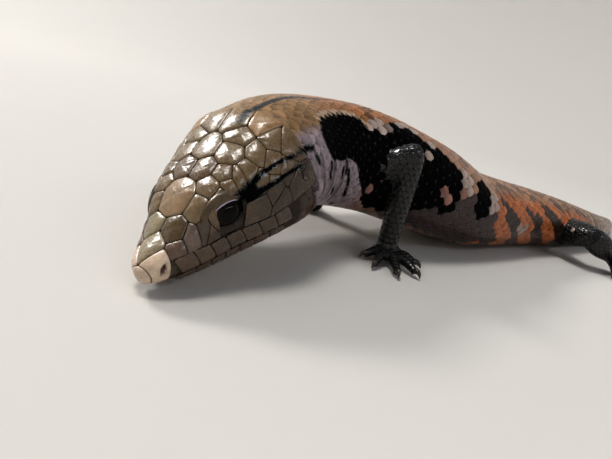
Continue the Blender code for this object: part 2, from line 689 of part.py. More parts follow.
def build_leg(plan, side, names, look):
    """Upper leg, lower leg and foot with its digits and claws."""
    centre, forward, outward = leg_frame(plan["root_station"], side)
    edge = float(half_width(plan["root_station"]))
    up = np.array([0, 0, 1.0])

    def spot(step):
        flat = centre + forward * step[0] + outward * (edge + step[1] - LEG_INSET)
        flat[2] = step[2]
        return flat
    inner = centre + outward * (edge - plan["root_depth"]) + up * plan["root_rise"]
    elbow, wrist, palm = (spot(plan[key]) for key in ("elbow", "wrist", "palm"))
    root, middle, bend, narrow, cuff = plan["radii"]
    tip = elbow + (elbow - inner) / np.linalg.norm(elbow - inner) * bend * 0.7
    swell = outward * LEG_BULGE
    bulk = [inner, (inner * 2 + elbow) / 3 + swell, (inner + elbow * 2) / 3 + swell, elbow, tip]
    thick = [root, (root + middle) / 2, middle, bend, bend * 0.55]

    def upper_tube(name, swell, look=None):
        path = limb_curve(bulk, 11)
        size = smooth_curve(list(zip((0, 0.3, 0.6, 0.85, 1), thick)))(np.linspace(0, 1, 11))
        return skin_over(tube_rings(path, size + swell, 12), name, look)

    def flank():
        stations = np.linspace(plan["root_station"] - TRIM_REACH, plan["root_station"] + TRIM_REACH, 22)
        return skin_over(body_rings(stations, 40, swell=GAP), "flank")

    upper = upper_tube(names[0], 0, look)
    join(upper, [flank()], "DIFFERENCE")
    path = limb_curve([elbow, (elbow + wrist) / 2, wrist, palm], 24)
    distance = np.concatenate([[0], np.cumsum(np.linalg.norm(np.diff(path, axis=0), axis=1))])
    ankle = float(distance[np.argmin(np.linalg.norm(path - wrist, axis=1))])
    radii = smooth_curve([(0, bend), (ankle * 0.35, (middle + bend) / 2), (ankle, narrow), (distance[-1], cuff)])

    def stretch(start, end, pieces):
        at = np.linspace(start, end, pieces + 1)
        return np.stack([np.interp(at, distance, path[:, k]) for k in range(3)], 1), radii(at)

    lower = skin_over(tube_rings(*stretch(0, ankle - GAP / 2, 6), 12), names[1], look)
    join(lower, [upper_tube("trim", GAP)], "DIFFERENCE")
    join(lower, [flank()], "DIFFERENCE")
    line, size = stretch(ankle + GAP / 2, distance[-1], 3)
    foot = skin_over(tube_rings(line, size, 10, FOOT_FLATNESS), names[2], look)
    pieces = [ball(palm + up * PALM_LIFT, (up, forward, outward), PALM_SIZE, "sole", 5, 10)]
    flat_to_ground(pieces[0])
    for turn, length in zip(plan["digits"], plan["lengths"]):
        a = math.radians(turn)
        way = forward * math.cos(a) + outward * math.sin(a)
        base = palm + way * DIGIT_START
        line = np.array([base + up * 0.3, base + way * length * 0.45 + up * 1.0,
                         base + way * length * 0.8, base + way * length - up * 0.9])
        bends = limb_curve(line, 5)
        digit = tube_rings(bends, np.linspace(DIGIT_BASE, DIGIT_TIP, 5), 6)
        pieces.append(skin_over(digit, "digit"))
        tip = bends[-1]
        hook = np.array([tip + way * ahead + up * rise for ahead, rise in CLAW_PATH])
        hook[:, 2] = np.maximum(hook[:, 2], CLAW_LOWEST)
        pieces.append(skin_over(tube_rings(hook, CLAW_RADII, 4), "claw"))
    join(foot, pieces)
    line, size = stretch(0, ankle + GAP / 2, 6)
    join(foot, [skin_over(tube_rings(line, size + GAP, 12), "trim")], "DIFFERENCE")
    return upper, lower, foot


def flat_to_ground(made):
    for v in made.data.vertices:
        v.co.z = max(v.co.z, 0.0)


def build_model():
    for old in list(bpy.data.objects):
        bpy.data.objects.remove(old)
    looks = {
        "bronze": material("head_bronze", (0.20, 0.15, 0.09), 0.32),
        "cream": material("jaw_cream", (0.45, 0.33, 0.24), 0.4),
        "eye": material("eye_dark", (0.012, 0.009, 0.008), 0.05),
        "rust": material("back_rust", (0.28, 0.12, 0.045), 0.4),
        "tail": material("tail_brown", (0.2, 0.12, 0.06), 0.42),
        "black": material("leg_black", (0.012, 0.012, 0.014), 0.28),
    }
    build_head(looks["bronze"])
    build_jaw(looks["cream"])
    for side, name in ((1, "eye_left"), (-1, "eye_right")):
        centre, out, along, above = eye_frame(side)
        ball(centre, (out, along, above), [EYE_RADIUS] * 3, name, 9, 16, looks["eye"])
    lengths = (("neck", NECK_START, TRUNK_START, 5, 28, "rust"),
               ("torso_front", TRUNK_START, TRUNK_SPLIT, 10, 28, "rust"),
               ("torso_rear", TRUNK_SPLIT, TAIL_START, 10, 28, "rust"),
               ("tail_base", TAIL_START, TAIL_MIDDLE, 7, 22, "tail"),
               ("tail_middle", TAIL_MIDDLE, TAIL_TIP, 6, 18, "tail"),
               ("tail_tip", TAIL_TIP, BODY_LENGTH, 6, 14, "tail"))
    for name, start, end, pieces, count, look in lengths:
        skin_over(body_rings(even_stations(start, end, pieces), count), name, looks[look])
    for plan, word in ((FRONT_LEG, "front"), (HIND_LEG, "hind")):
        for side, hand in ((1, "left"), (-1, "right")):
            names = [f"{word}_leg_{hand}_{piece}" for piece in ("upper", "lower", "foot")]
            build_leg(plan, side, names, looks["black"])


build_model()
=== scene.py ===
# %% [markdown]
# # A blue-tongued skink, scale by scale
#
# This notebook dresses the solid model of a skink. The solids carry the true outline, the head
# shields and the feet. What is added here is what a visitor sees: one soft skin, some thousands of
# horny scales that overlap like roof tiles, smooth shields on the head, wet eyes and dark claws.
# Lengths are in millimetres until a mesh is made, because a scale is easier to think of as 5 mm
# than as 0.005 m.

# %% Load the frame
import math
import bmesh
import bpy
import numpy as np
from mathutils import Matrix, Vector, kdtree
from mathutils.bvhtree import BVHTree


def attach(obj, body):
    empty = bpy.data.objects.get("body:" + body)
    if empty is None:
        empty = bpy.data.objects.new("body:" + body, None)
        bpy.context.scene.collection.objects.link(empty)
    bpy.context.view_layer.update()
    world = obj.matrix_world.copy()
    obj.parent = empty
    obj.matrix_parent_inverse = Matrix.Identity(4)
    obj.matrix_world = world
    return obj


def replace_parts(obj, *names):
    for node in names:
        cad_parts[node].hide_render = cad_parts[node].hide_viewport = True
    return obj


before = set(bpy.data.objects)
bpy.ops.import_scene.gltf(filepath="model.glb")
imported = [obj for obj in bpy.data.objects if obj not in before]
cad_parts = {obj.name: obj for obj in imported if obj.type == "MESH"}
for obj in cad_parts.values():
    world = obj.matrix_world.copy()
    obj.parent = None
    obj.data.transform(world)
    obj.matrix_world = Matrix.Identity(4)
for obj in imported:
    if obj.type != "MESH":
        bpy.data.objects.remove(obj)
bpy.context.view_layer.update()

MM = 0.001
rng = np.random.default_rng(7)


def new_object(name, data):
    """An object for a mesh, a lamp or a camera, put into the scene."""
    made = bpy.data.objects.new(name, data)
    bpy.context.scene.collection.objects.link(made)
    return made


# %% [markdown]
# ## Where the eye stands
#
# The animal is seen from its left front and from a little above, close by, so the head looks large
# and the body shrinks away behind it. A short lens near the snout gives that; a long lens far away
# would make head and body equally large. The camera also leans to one side. Its three axes are
# worked out from two angles and the lean, and go straight into the columns of its matrix.

# %% Camera
CAMERA_PLACE = (-0.21014, -0.13566, 0.06243)
CAMERA_TURN = -40.38
CAMERA_HEIGHT = 18.53
CAMERA_LEAN = 15.05
LENS = 26.68
SENSOR = 36.0


def camera_axes(turn, height, lean):
    """Right, up and backward axes of a camera, from angles in degrees."""
    a, e, roll = (math.radians(x) for x in (turn, height, lean))
    back = Vector((math.sin(a) * math.cos(e), -math.cos(a) * math.cos(e), math.sin(e)))
    right = (-back).cross(Vector((0, 0, 1))).normalized()
    up = right.cross(-back)
    return right * math.cos(roll) + up * math.sin(roll), up * math.cos(roll) - right * math.sin(roll), back


camera = new_object("camera", bpy.data.cameras.new("camera"))
camera.matrix_world = Matrix.Translation(CAMERA_PLACE) @ Matrix(
    camera_axes(CAMERA_TURN, CAMERA_HEIGHT, CAMERA_LEAN)).transposed().to_4x4()
camera.data.sensor_width = SENSOR
camera.data.lens = LENS
camera.data.clip_start = MM
bpy.context.scene.camera = camera
print("camera at", [round(x, 3) for x in camera.location])

# %% [markdown]
# ## A pale floor without an edge
#
# A flat floor would show its horizon, and a leaning camera would show it as a slope. A shallow bowl
# has no horizon from any side: it is flat under the animal, and its rim rises far behind. It could
# be a bent sheet as photographers use, but a sheet works from one side only.

# %% Floor
FLOOR_FLAT = 0.7
FLOOR_REACH = 3.2
FLOOR_RISE = 2.6
FLOOR_DROP = 0.0001
FLOOR_RINGS, FLOOR_SPOKES = 40, 96
RING_CROWDING = 1.5    # above 1 the rings stand closer together near the middle
PAPER_TINT, PAPER_ROUGHNESS = (0.50, 0.485, 0.465, 1), 0.9


def floor_bowl():
    """A round floor that curves up smoothly outside its flat middle."""
    work = bmesh.new()
    rows = []
    for i in range(1, FLOOR_RINGS + 1):
        r = FLOOR_REACH * (i / FLOOR_RINGS)**RING_CROWDING
        climb = max(0.0, (r - FLOOR_FLAT) / (FLOOR_REACH - FLOOR_FLAT))
        z = -FLOOR_DROP + FLOOR_RISE * climb**2
        rows.append([work.verts.new((r * math.cos(t), r * math.sin(t), z))
                     for t in np.arange(FLOOR_SPOKES) * 2 * math.pi / FLOOR_SPOKES])
    middle = work.verts.new((0, 0, -FLOOR_DROP))
    for j in range(FLOOR_SPOKES):
        k = (j + 1) % FLOOR_SPOKES
        work.faces.new((middle, rows[0][j], rows[0][k]))
        for a, b in zip(rows, rows[1:]):
            work.faces.new((a[j], b[j], b[k], a[k]))
    mesh = bpy.data.meshes.new("floor")
    work.to_mesh(mesh)
    work.free()
    mesh.shade_smooth()
    made = new_object("floor", mesh)
    return made


floor = floor_bowl()
paper = bpy.data.materials.new("floor_paper")
paper.use_nodes = True
paper_inputs = paper.node_tree.nodes["Principled BSDF"].inputs
paper_inputs["Base Color"].default_value = PAPER_TINT
paper_inputs["Roughness"].default_value = PAPER_ROUGHNESS
floor.data.materials.append(paper)
print("floor faces", len(floor.data.polygons))

# %% [markdown]
# ## Light
#
# Shiny scales show the lamps more than they show themselves, so the lamps are placed by what they
# make. A broad one overhead whitens the crown, a second one behind the right shoulder draws the
# nape and the far shields, and a long strip on the left gives the line of light in the eye and the
# fine glints along the edges of the cheek scales. Two narrow windows, one in front and one low on
# the left, add small glints on the snout and the foreleg. Each lamp is given by its direction from
# the head and stands well away, so that it lights the floor evenly, and a sun with a disc as wide
# as a ceiling fills the shadows.

# %% Lamps
AIM = Vector((-0.13, -0.02, 0.03))
# Name, direction from the head, distance, two sides, power and colour of each lamp
LAMPS = [("overhead", (-0.22, 0.12, 0.95), 3.0, (0.72, 0.72), 42.0, (1.0, 0.97, 0.92)),
         ("behind_right", (-0.33, 0.72, 0.60), 2.8, (0.75, 0.48), 48.0, (1.0, 0.98, 0.94)),
         ("left_strip", (0.22, -0.72, 0.68), 1.9, (1.5, 0.05), 5.0, (0.84, 0.91, 1.0)),
         ("front_window", (-0.90, -0.42, 0.20), 1.9, (0.10, 0.40), 6.0, (0.95, 0.98, 1.0)),
         ("low_window", (-0.55, -0.80, 0.13), 1.9, (0.12, 0.50), 4.0, (0.95, 0.98, 1.0))]
CEILING_POWER, CEILING_DISC, CEILING_WAY = 0.45, 50, (0.15, -0.25, -1)
ROOM_TINT, ROOM_STRENGTH = (0.82, 0.88, 1.0, 1), 0.16


def shining(way):
    """The rotation of a lamp that shines in a direction."""
    return Vector(way).to_track_quat("-Z", "Y").to_euler()


for name, way, distance, size, power, colour in LAMPS:
    lamp = bpy.data.lights.new(name, "AREA")
    lamp.shape = "RECTANGLE"
    lamp.size, lamp.size_y = size
    lamp.energy = power
    lamp.color = colour
    made = new_object(name, lamp)
    made.location = AIM + Vector(way).normalized() * distance
    made.rotation_euler = shining(AIM - made.location)
ceiling = bpy.data.lights.new("ceiling", "SUN")
ceiling.energy = CEILING_POWER
ceiling.angle = math.radians(CEILING_DISC)
new_object("ceiling", ceiling).rotation_euler = shining(CEILING_WAY)
world = bpy.data.worlds.new("room")
world.use_nodes = True
backdrop = world.node_tree.nodes["Background"].inputs
backdrop["Color"].default_value = ROOM_TINT
backdrop["Strength"].default_value = ROOM_STRENGTH
bpy.context.scene.world = world
bpy.context.scene.view_settings.view_transform = "Standard"
bpy.context.scene.view_settings.look = "Medium High Contrast"
print("lamps", [entry[0] for entry in LAMPS])

# %% [markdown]
# ## The shape of the body as curves
#
# A lizard's body is a soft tube, so a few curves along its length say all of it: half its width,
# its height above and below the spine, and how boxy a cut through it is. The same curves drive the
# solids, so whatever is built on them here fits the solids without measuring.

# %% Sizes along the body
BODY_LENGTH = 510.0
TRUNK_MIDDLE = 190.0
BELLY_REST = 200.0
BELLY_SINK = 1.2
HALF_WIDTH = [(0, 0.2), (0.6, 1.9), (1.7, 3.3), (3.5, 4.8), (9, 8.1), (23, 13.5), (38.5, 20.2), (50.5, 22.8),
              (61, 24.0), (77, 23.0), (110, 26.0), (150, 30.5), (190, 32.0), (240, 28.5), (280, 22.0),
              (300, 18.0), (330, 14.5), (400, 9.5), (480, 3.8), (510, 1.2)]
TOP_HEIGHT = [(0, 0.2), (0.6, 2.0), (1.7, 3.1), (3.7, 4.0), (9, 5.4), (23, 12.4), (38.5, 17.9), (55, 22.6),
              (77, 22.3), (110, 22.5), (150, 22.8), (190, 18.8), (240, 15.2), (280, 14.6), (300, 14.0),
              (330, 12.0), (400, 8.0), (480, 3.3), (510, 1.2)]
BOTTOM_HEIGHT = [(0, 0.2), (0.6, 2.0), (1.7, 3.3), (3.7, 4.7), (9, 7.2), (23, 12.0), (38.5, 15.4), (55, 18.6),
                 (77, 18.6), (110, 20.0), (150, 20.5), (190, 20.0), (240, 18.5), (280, 15.5), (300, 13.5),
                 (330, 11.5), (400, 7.5), (480, 3.2), (510, 1.2)]
TOP_SQUARENESS = [(0, 2.0), (11, 2.3), (26, 2.6), (41, 2.5), (65, 2.2), (150, 2.15), (510, 2.0)]
BOTTOM_SQUARENESS = [(0, 2.0), (28, 2.2), (55, 2.3), (150, 2.3), (330, 2.1), (510, 2.0)]
HEADING = [(0, 30.5), (55, 30.5), (80, 16.4), (110, -4.4), (190, 0), (240, -7.6), (280, -11.2), (310, -2),
           (345, 9), (420, 14), (510, 30)]
PITCH = [(0, -24.9), (50, -24.9), (75, -4.7), (100, -0.2), (130, 11.5), (170, 12.7), (200, 0), (510, 0)]
ROLL = [(0, 16.7), (55, 16.7), (80, 3.6), (110, 0), (510, 0)]
MOUTH_LINE = [(0, -2.6), (9, -3.6), (18.5, -4.6), (27.5, -5.9), (37.5, -6.7), (46, -6.0)]
CHEEK_END = 52.0
EYE_STATION, EYE_ANGLE, EYE_RADIUS, EYE_SUNK = 23.9, 19.7, 4.6, 3.0
EYE_LONG, EYE_TALL = 1.32, 1.12    # the ball's reach along and above, as shares of its radius
PROBE_ALONG, PROBE_TURN = 0.2, 0.5    # steps in mm and in degrees that tell how the skin slopes
EAR_STATION, EAR_ANGLE = 53.4, -8.0
# Name, station, height in degrees, two reaches and size of each swelling and fold
BULGES = [("brow", 24.8, 48, 8.3, 16, 1.2), ("socket", 24.8, 16, 5.5, 12, -0.8),
          ("cheek", 48, -22, 10, 26, 1.4)]
FOLDS = [("behind_jaw", 59.5, -12, 2.0, 34, -0.9), ("neck", 69, -18, 2.2, 34, -0.7),
         ("throat", 64, -80, 2.4, 30, -0.6), ("before_arm", 80, -22, 2.4, 24, -0.8),
         ("ear", EAR_STATION, EAR_ANGLE, 1.9, 5.0, -2.8)]


def smooth_curve(stations):
    """A smooth curve through (position, value) pairs that never overshoots them."""
    xs, ys = np.array(stations, float).T
    step = np.diff(xs)
    slope = np.diff(ys) / step
    tangent = np.zeros_like(ys)
    tangent[0], tangent[-1] = slope[0], slope[-1]
    for i in range(1, len(xs) - 1):
        if slope[i - 1] * slope[i] > 0:
            near = 2 * step[i] + step[i - 1]
            far = step[i] + 2 * step[i - 1]
            tangent[i] = (near + far) / (near / slope[i - 1] + far / slope[i])

    def curve(x):
        x = np.asarray(x, float)
        i = np.clip(np.searchsorted(xs, x) - 1, 0, len(xs) - 2)
        t = np.clip((x - xs[i]) / step[i], 0, 1)
        start = (2 * t**3 - 3 * t**2 + 1) * ys[i] + (t**3 - 2 * t**2 + t) * step[i] * tangent[i]
        end = (-2 * t**3 + 3 * t**2) * ys[i + 1] + (t**3 - t**2) * step[i] * tangent[i + 1]
        return start + end
    return curve


half_width = smooth_curve(HALF_WIDTH)
top_height = smooth_curve(TOP_HEIGHT)
bottom_height = smooth_curve(BOTTOM_HEIGHT)
top_squareness = smooth_curve(TOP_SQUARENESS)
bottom_squareness = smooth_curve(BOTTOM_SQUARENESS)
mouth_line = smooth_curve(MOUTH_LINE)
print("widest half width", float(half_width(TRUNK_MIDDLE)))

# %% [markdown]
# ## The spine in space
#
# The pose is a walk along the spine: at each millimetre a heading, a pitch and a roll. Adding up the
# steps gives the centre line, and its three axes (forward, left, up) carry every cut of the body.
# The rear half lies on the ground, so there the height follows from the thickness of the body.

# %% Spine


def lay_spine(samples=511):
    """Centres and axes of the body at even stations from snout to tail tip."""
    s = np.linspace(0, BODY_LENGTH, samples)
    yaw = np.radians(smooth_curve(HEADING)(s))
    pitch = np.radians(smooth_curve(PITCH)(s))
    roll = np.radians(smooth_curve(ROLL)(s))
    forward = np.stack([-np.cos(yaw) * np.cos(pitch), -np.sin(yaw) * np.cos(pitch), np.sin(pitch)], 1)
    step = s[1] - s[0]
    middle = np.argmin(abs(s - TRUNK_MIDDLE))
    walk = np.zeros((samples, 3))
    walk[1:] = -np.cumsum(0.5 * (forward[1:] + forward[:-1]) * step, 0)
    centre = walk - walk[middle]
    on_ground = bottom_height(s) - BELLY_SINK
    rest = np.argmin(abs(s - BELLY_REST))
    centre[:rest, 2] += on_ground[rest] - centre[rest, 2]
    centre[rest:, 2] = on_ground[rest:]
    forward = -np.gradient(centre, s, axis=0)
    forward /= np.linalg.norm(forward, axis=1)[:, None]
    left = np.cross([0, 0, 1.0], forward)
    left /= np.linalg.norm(left, axis=1)[:, None]
    up = np.cross(forward, left)
    c, n = np.cos(roll)[:, None], np.sin(roll)[:, None]
    return s, centre, forward, left * c + up * n, up * c - left * n


SPINE_S, SPINE_CENTRE, SPINE_FORWARD, SPINE_LEFT, SPINE_UP = lay_spine()


def along_spine(values, s):
    """Values of the spine at any station."""
    return np.stack([np.interp(s, SPINE_S, values[:, k]) for k in range(3)], -1)


def section(s, angle):
    """Sideways and upward offset of the skin from the spine; angle in degrees, 90 is the crown."""
    a = np.radians(angle)
    c, n = np.cos(a), np.sin(a)
    power = np.where(n > 0, top_squareness(s), bottom_squareness(s))
    height = np.where(n > 0, top_height(s), bottom_height(s))
    side = half_width(s) * np.sign(c) * np.abs(c)**(2 / power)
    rise = height * np.sign(n) * np.abs(n)**(2 / power)
    folded = np.degrees(np.arctan2(n, np.abs(c)))
    swell = np.zeros_like(side)
    for name, at, turn, reach, spread, size in BULGES + FOLDS:
        swell = swell + size * np.exp(-((s - at) / reach)**2 - ((folded - turn) / spread)**2)
    length = np.sqrt(side**2 + rise**2) + 1e-9
    return side * (1 + swell / length), rise * (1 + swell / length)


def place(s, side, rise):
    """A world point at a station, so far to the left of the spine and above it."""
    centre = along_spine(SPINE_CENTRE, s)
    left = along_spine(SPINE_LEFT, s)
    up = along_spine(SPINE_UP, s)
    return centre + left * np.asarray(side)[..., None] + up * np.asarray(rise)[..., None]


def skin_point(s, angle, lift=0.0):
    """A point of the skin, lifted off it along its normal, and the normal."""
    s, angle = np.broadcast_arrays(np.asarray(s, float), np.asarray(angle, float))
    s = np.maximum(s, 0.0)
    point = place(s, *section(s, angle))
    ahead, behind = np.maximum(s - PROBE_ALONG, 0), s + PROBE_ALONG
    along = place(behind, *section(behind, angle)) - place(ahead, *section(ahead, angle))
    around = place(s, *section(s, angle + PROBE_TURN)) - place(s, *section(s, angle - PROBE_TURN))
    normal = np.cross(along, around)
    normal /= np.linalg.norm(normal, axis=-1)[..., None] + 1e-12
    return point + normal * np.asarray(lift)[..., None], normal


print("snout and tail tip at", [place(np.array(s), 0.0, 0.0).round(1) for s in (0.0, BODY_LENGTH)])

# %% [markdown]
# ## Two ways to say where a scale sits
#
# On the trunk a scale's place is a station along the body and a fraction of the way round it: a
# quarter is the left flank, a half is the belly. Equal fractions must be equal distances on the
# skin, or the scales would bunch up at the corners of the body, so a table is made from the true
# length around each cut. On the head, distances over the crown and down its side suit the shields
# better, because those lie like tiles on a flat sheet bent over the skull.

# %% Places on the trunk
AROUND_STEPS, AROUND_STATIONS = 361, 256


def around_table():
    """For even stations, the angle at each even fraction of the way round from the crown."""
    stations = np.linspace(0, BODY_LENGTH, AROUND_STATIONS)
    angle = np.linspace(90, -270, AROUND_STEPS)
    side, rise = section(stations[:, None], angle[None, :])
    walked = np.cumsum(np.hypot(np.diff(side, axis=1), np.diff(rise, axis=1)), 1)
    walked = np.concatenate([np.zeros((len(stations), 1)), walked], 1)
    girth = walked[:, -1]
    even = np.linspace(0, 1, AROUND_STEPS)
    table = np.array([np.interp(even, row / row[-1], angle) for row in walked])
    return stations, table, girth


AROUND_S, AROUND_ANGLE, GIRTH = around_table()


def angle_at(s, fraction):
    """The angle of a place so far round the body; fractions outside 0 to 1 go round again."""
    turns = np.floor(fraction)
    column = (fraction - turns) * (AROUND_STEPS - 1)
    row = np.clip(s, 0, BODY_LENGTH) / BODY_LENGTH * (len(AROUND_S) - 1)
    i = np.minimum(row.astype(int), len(AROUND_S) - 2)
    j = np.minimum(column.astype(int), AROUND_STEPS - 2)
    p, q = row - i, column - j
    near = AROUND_ANGLE[i, j] * (1 - q) + AROUND_ANGLE[i, j + 1] * q
    far = AROUND_ANGLE[i + 1, j] * (1 - q) + AROUND_ANGLE[i + 1, j + 1] * q
    return near * (1 - p) + far * p - 360 * turns


def folded_angle(angle):
    """Height on the body from -90, belly, to 90, crown, alike on both sides."""
    a = np.radians(angle)
    return np.degrees(np.arctan2(np.sin(a), np.abs(np.cos(a))))


print("girth at mid trunk", round(float(np.interp(TRUNK_MIDDLE, AROUND_S, GIRTH)), 1), "mm")

# %% Places on the head
CROWN_ANGLE = 90.0


def crown_sheet():
    """Distances over the crown from the snout, and from the crown down its side, at many stations."""
    s = np.concatenate([np.linspace(0, 4, 41)[:-1], np.linspace(4, 70, 133)])    # finer over the snout
    rise = section(s, np.full_like(s, CROWN_ANGLE))[1]
    over = np.concatenate([[0], np.cumsum(np.hypot(np.diff(s), np.diff(rise)))])
    turn = np.linspace(0, 180, 181)
    side, rise = section(s[:, None], CROWN_ANGLE - turn[None, :])
    down = np.cumsum(np.hypot(np.diff(side, axis=1), np.diff(rise, axis=1)), 1)
    return s, over, turn, np.concatenate([np.zeros((len(s), 1)), down], 1)


CROWN = crown_sheet()


def sheet_to_skin(over, aside):
    """Station and angle of a place so far over the crown and so far to the left."""
    stations, lengths, turn, down = CROWN
    s = np.interp(over, lengths, stations)
    row = np.interp(s, stations, np.arange(len(stations)))
    low = np.minimum(np.floor(row).astype(int), len(stations) - 2)
    part = row - low
    turned = [np.interp(y, down[a] * (1 - p) + down[a + 1] * p, turn)
              for a, p, y in zip(low.ravel(), part.ravel(), np.abs(aside).ravel())]
    left = CROWN_ANGLE - np.array(turned).reshape(np.shape(aside))
    return s, np.where(np.asarray(aside) >= 0, left, 180 - left)


def lip_distance(over):
    """Distance from the middle of the crown down to the line of the mouth."""
    stations, lengths, turn, down = CROWN
    s = float(np.interp(over, lengths, stations))
    rise = section(np.full_like(turn, s), CROWN_ANGLE - turn)[1]
    row = int(round(float(np.interp(s, stations, np.arange(len(stations))))))
    return float(np.interp(-mouth_line(s), -rise, down[row]))


print("the mouth lies", round(lip_distance(25.0), 1), "mm below the crown at the eye")

# %% [markdown]
# ## Many small meshes in one
#
# A coat of scales is thousands of little closed forms. As objects they would choke Blender, so a
# collector gathers points, faces, colours and a map place for each, and makes one mesh of them.
# Colours are stored on the points: that costs no image, and a scale keeps its colour wherever it
# goes. The map gives every scale its own small patch where it sits on the unrolled skin. Jet black
# scales mirror less than brown ones, so their faces may take a second finish.

# %% Collector
JET_LIMIT = 0.005


def store_tints(mesh, tints):
    """Keep a colour on each point of a mesh."""
    layer = mesh.color_attributes.new("tint", "FLOAT_COLOR", "POINT")
    opaque = np.concatenate([tints, np.ones((len(tints), 1))], 1)
    layer.data.foreach_set("color", opaque.astype(np.float32).ravel())


class Coat:
    """Gathers closed forms into one mesh with colours and a map."""

    def __init__(self):
        self.forms = []
        self.count = 0

    def add(self, points, quads, tris, tints, places):
        self.forms.append((points, quads + self.count, tris + self.count, tints, places))
        self.count += len(points)

    def build(self, name, material, jet=None):
        points, quads, tris, tints, places = (np.concatenate(kind) for kind in zip(*self.forms))
        points[:, 2] = np.maximum(points[:, 2], 0.0)
        corners = np.concatenate([quads.ravel(), tris.ravel()]).astype(np.int32)
        starts = np.concatenate([np.arange(len(quads)) * 4, len(quads) * 4 + np.arange(len(tris)) * 3])
        mesh = bpy.data.meshes.new(name)
        mesh.vertices.add(len(points))
        mesh.vertices.foreach_set("co", (points * MM).astype(np.float32).ravel())
        mesh.loops.add(len(corners))
        mesh.loops.foreach_set("vertex_index", corners)
        mesh.polygons.add(len(starts))
        mesh.polygons.foreach_set("loop_start", starts.astype(np.int32))
        mesh.update(calc_edges=True)
        store_tints(mesh, tints)
        layer = mesh.uv_layers.new(name="OFBake")
        layer.data.foreach_set("uv", places.astype(np.float32)[corners].ravel())
        mesh.polygons.foreach_set("use_smooth", np.full(len(starts), True))
        made = new_object(name, mesh)
        mesh.materials.append(material)
        if jet is not None:
            mesh.materials.append(jet)
            brightness = tints.max(1)
            dark = np.concatenate([brightness[quads].max(1), brightness[tris].max(1)]) < JET_LIMIT
            mesh.polygons.foreach_set("material_index", dark.astype(np.int32))
        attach(made, "root")
        print(name, "has", len(quads) * 2 + len(tris), "triangles")
        return made


print("collector ready")

# %% Faces of a form made of rings


def ring_faces(points, count, looped=False):
    """Faces of a closed form made of rings of so many points each, looking outwards. The last two
    points close the last ring and the first one, unless the last ring is joined to the first."""
    index = np.arange(len(points) // count * count).reshape(-1, count)
    if looped:
        index = np.concatenate([index, index[:1]])
    following = np.roll(index, -1, axis=1)
    quads = np.stack([index[:-1], following[:-1], following[1:], index[1:]], -1).reshape(-1, 4)
    tris = np.zeros((0, 3), int)
    if not looped:
        last, first = np.full(count, len(points) - 2), np.full(count, len(points) - 1)
        tris = np.concatenate([np.stack([index[-1], following[-1], last], -1),
                               np.stack([following[0], index[0], first], -1)])
    volume = 0
    for faces in (quads, tris):
        a, b, c, d = (points[faces[:, k]] for k in (0, 1, 2, -1))
        volume += (np.cross(c - a, d - b) * (a - points[0])).sum()
    if volume < 0:
        quads, tris = quads[:, ::-1], tris[:, ::-1]
    return quads, tris


print("ring faces ready")

# %% [markdown]
# ## Finishes
#
# Lizard scales are keratin: a thin clear layer over pigment, as on a polished nail. The pigment is
# the stored colour, broken up a little by two sizes of grain. The same grain also lowers the gloss
# here and there and makes the surface slightly uneven, so it is built once as a node group and used
# in every finish with other numbers.

# %% Grain group
GRAIN_INPUTS = (("Pigment", "Color"), ("Coarse Scale", "Float"), ("Fine Scale", "Float"), ("Mottle", "Float"),
                ("Rough Low", "Float"), ("Rough High", "Float"))
GRAIN_OUTPUTS = (("Color", "Color"), ("Roughness", "Float"), ("Height", "Float"))
COARSE_DETAIL, FINE_DETAIL = 3.0, 2.0
MOTTLE_SPAN, GLOSS_SPAN = (0.3, 0.7), (0.35, 0.65)    # parts of the noise that are stretched
COLOUR_A, COLOUR_B, MIXED = 6, 7, 2    # colour sockets of a mix node


def set_inputs(tree, node, inputs):
    """Give each named socket of a node its number, or link it to the output of another node."""
    for key, value in inputs:
        if isinstance(value, bpy.types.NodeSocket):
            tree.links.new(value, node.inputs[key])
        else:
            node.inputs[key].default_value = value


def add_node(tree, kind, inputs=(), **settings):
    """A new shader node with its settings and inputs."""
    made = tree.nodes.new("ShaderNode" + kind)
    for key, value in settings.items():
        setattr(made, key, value)
    set_inputs(tree, made, inputs)
    return made


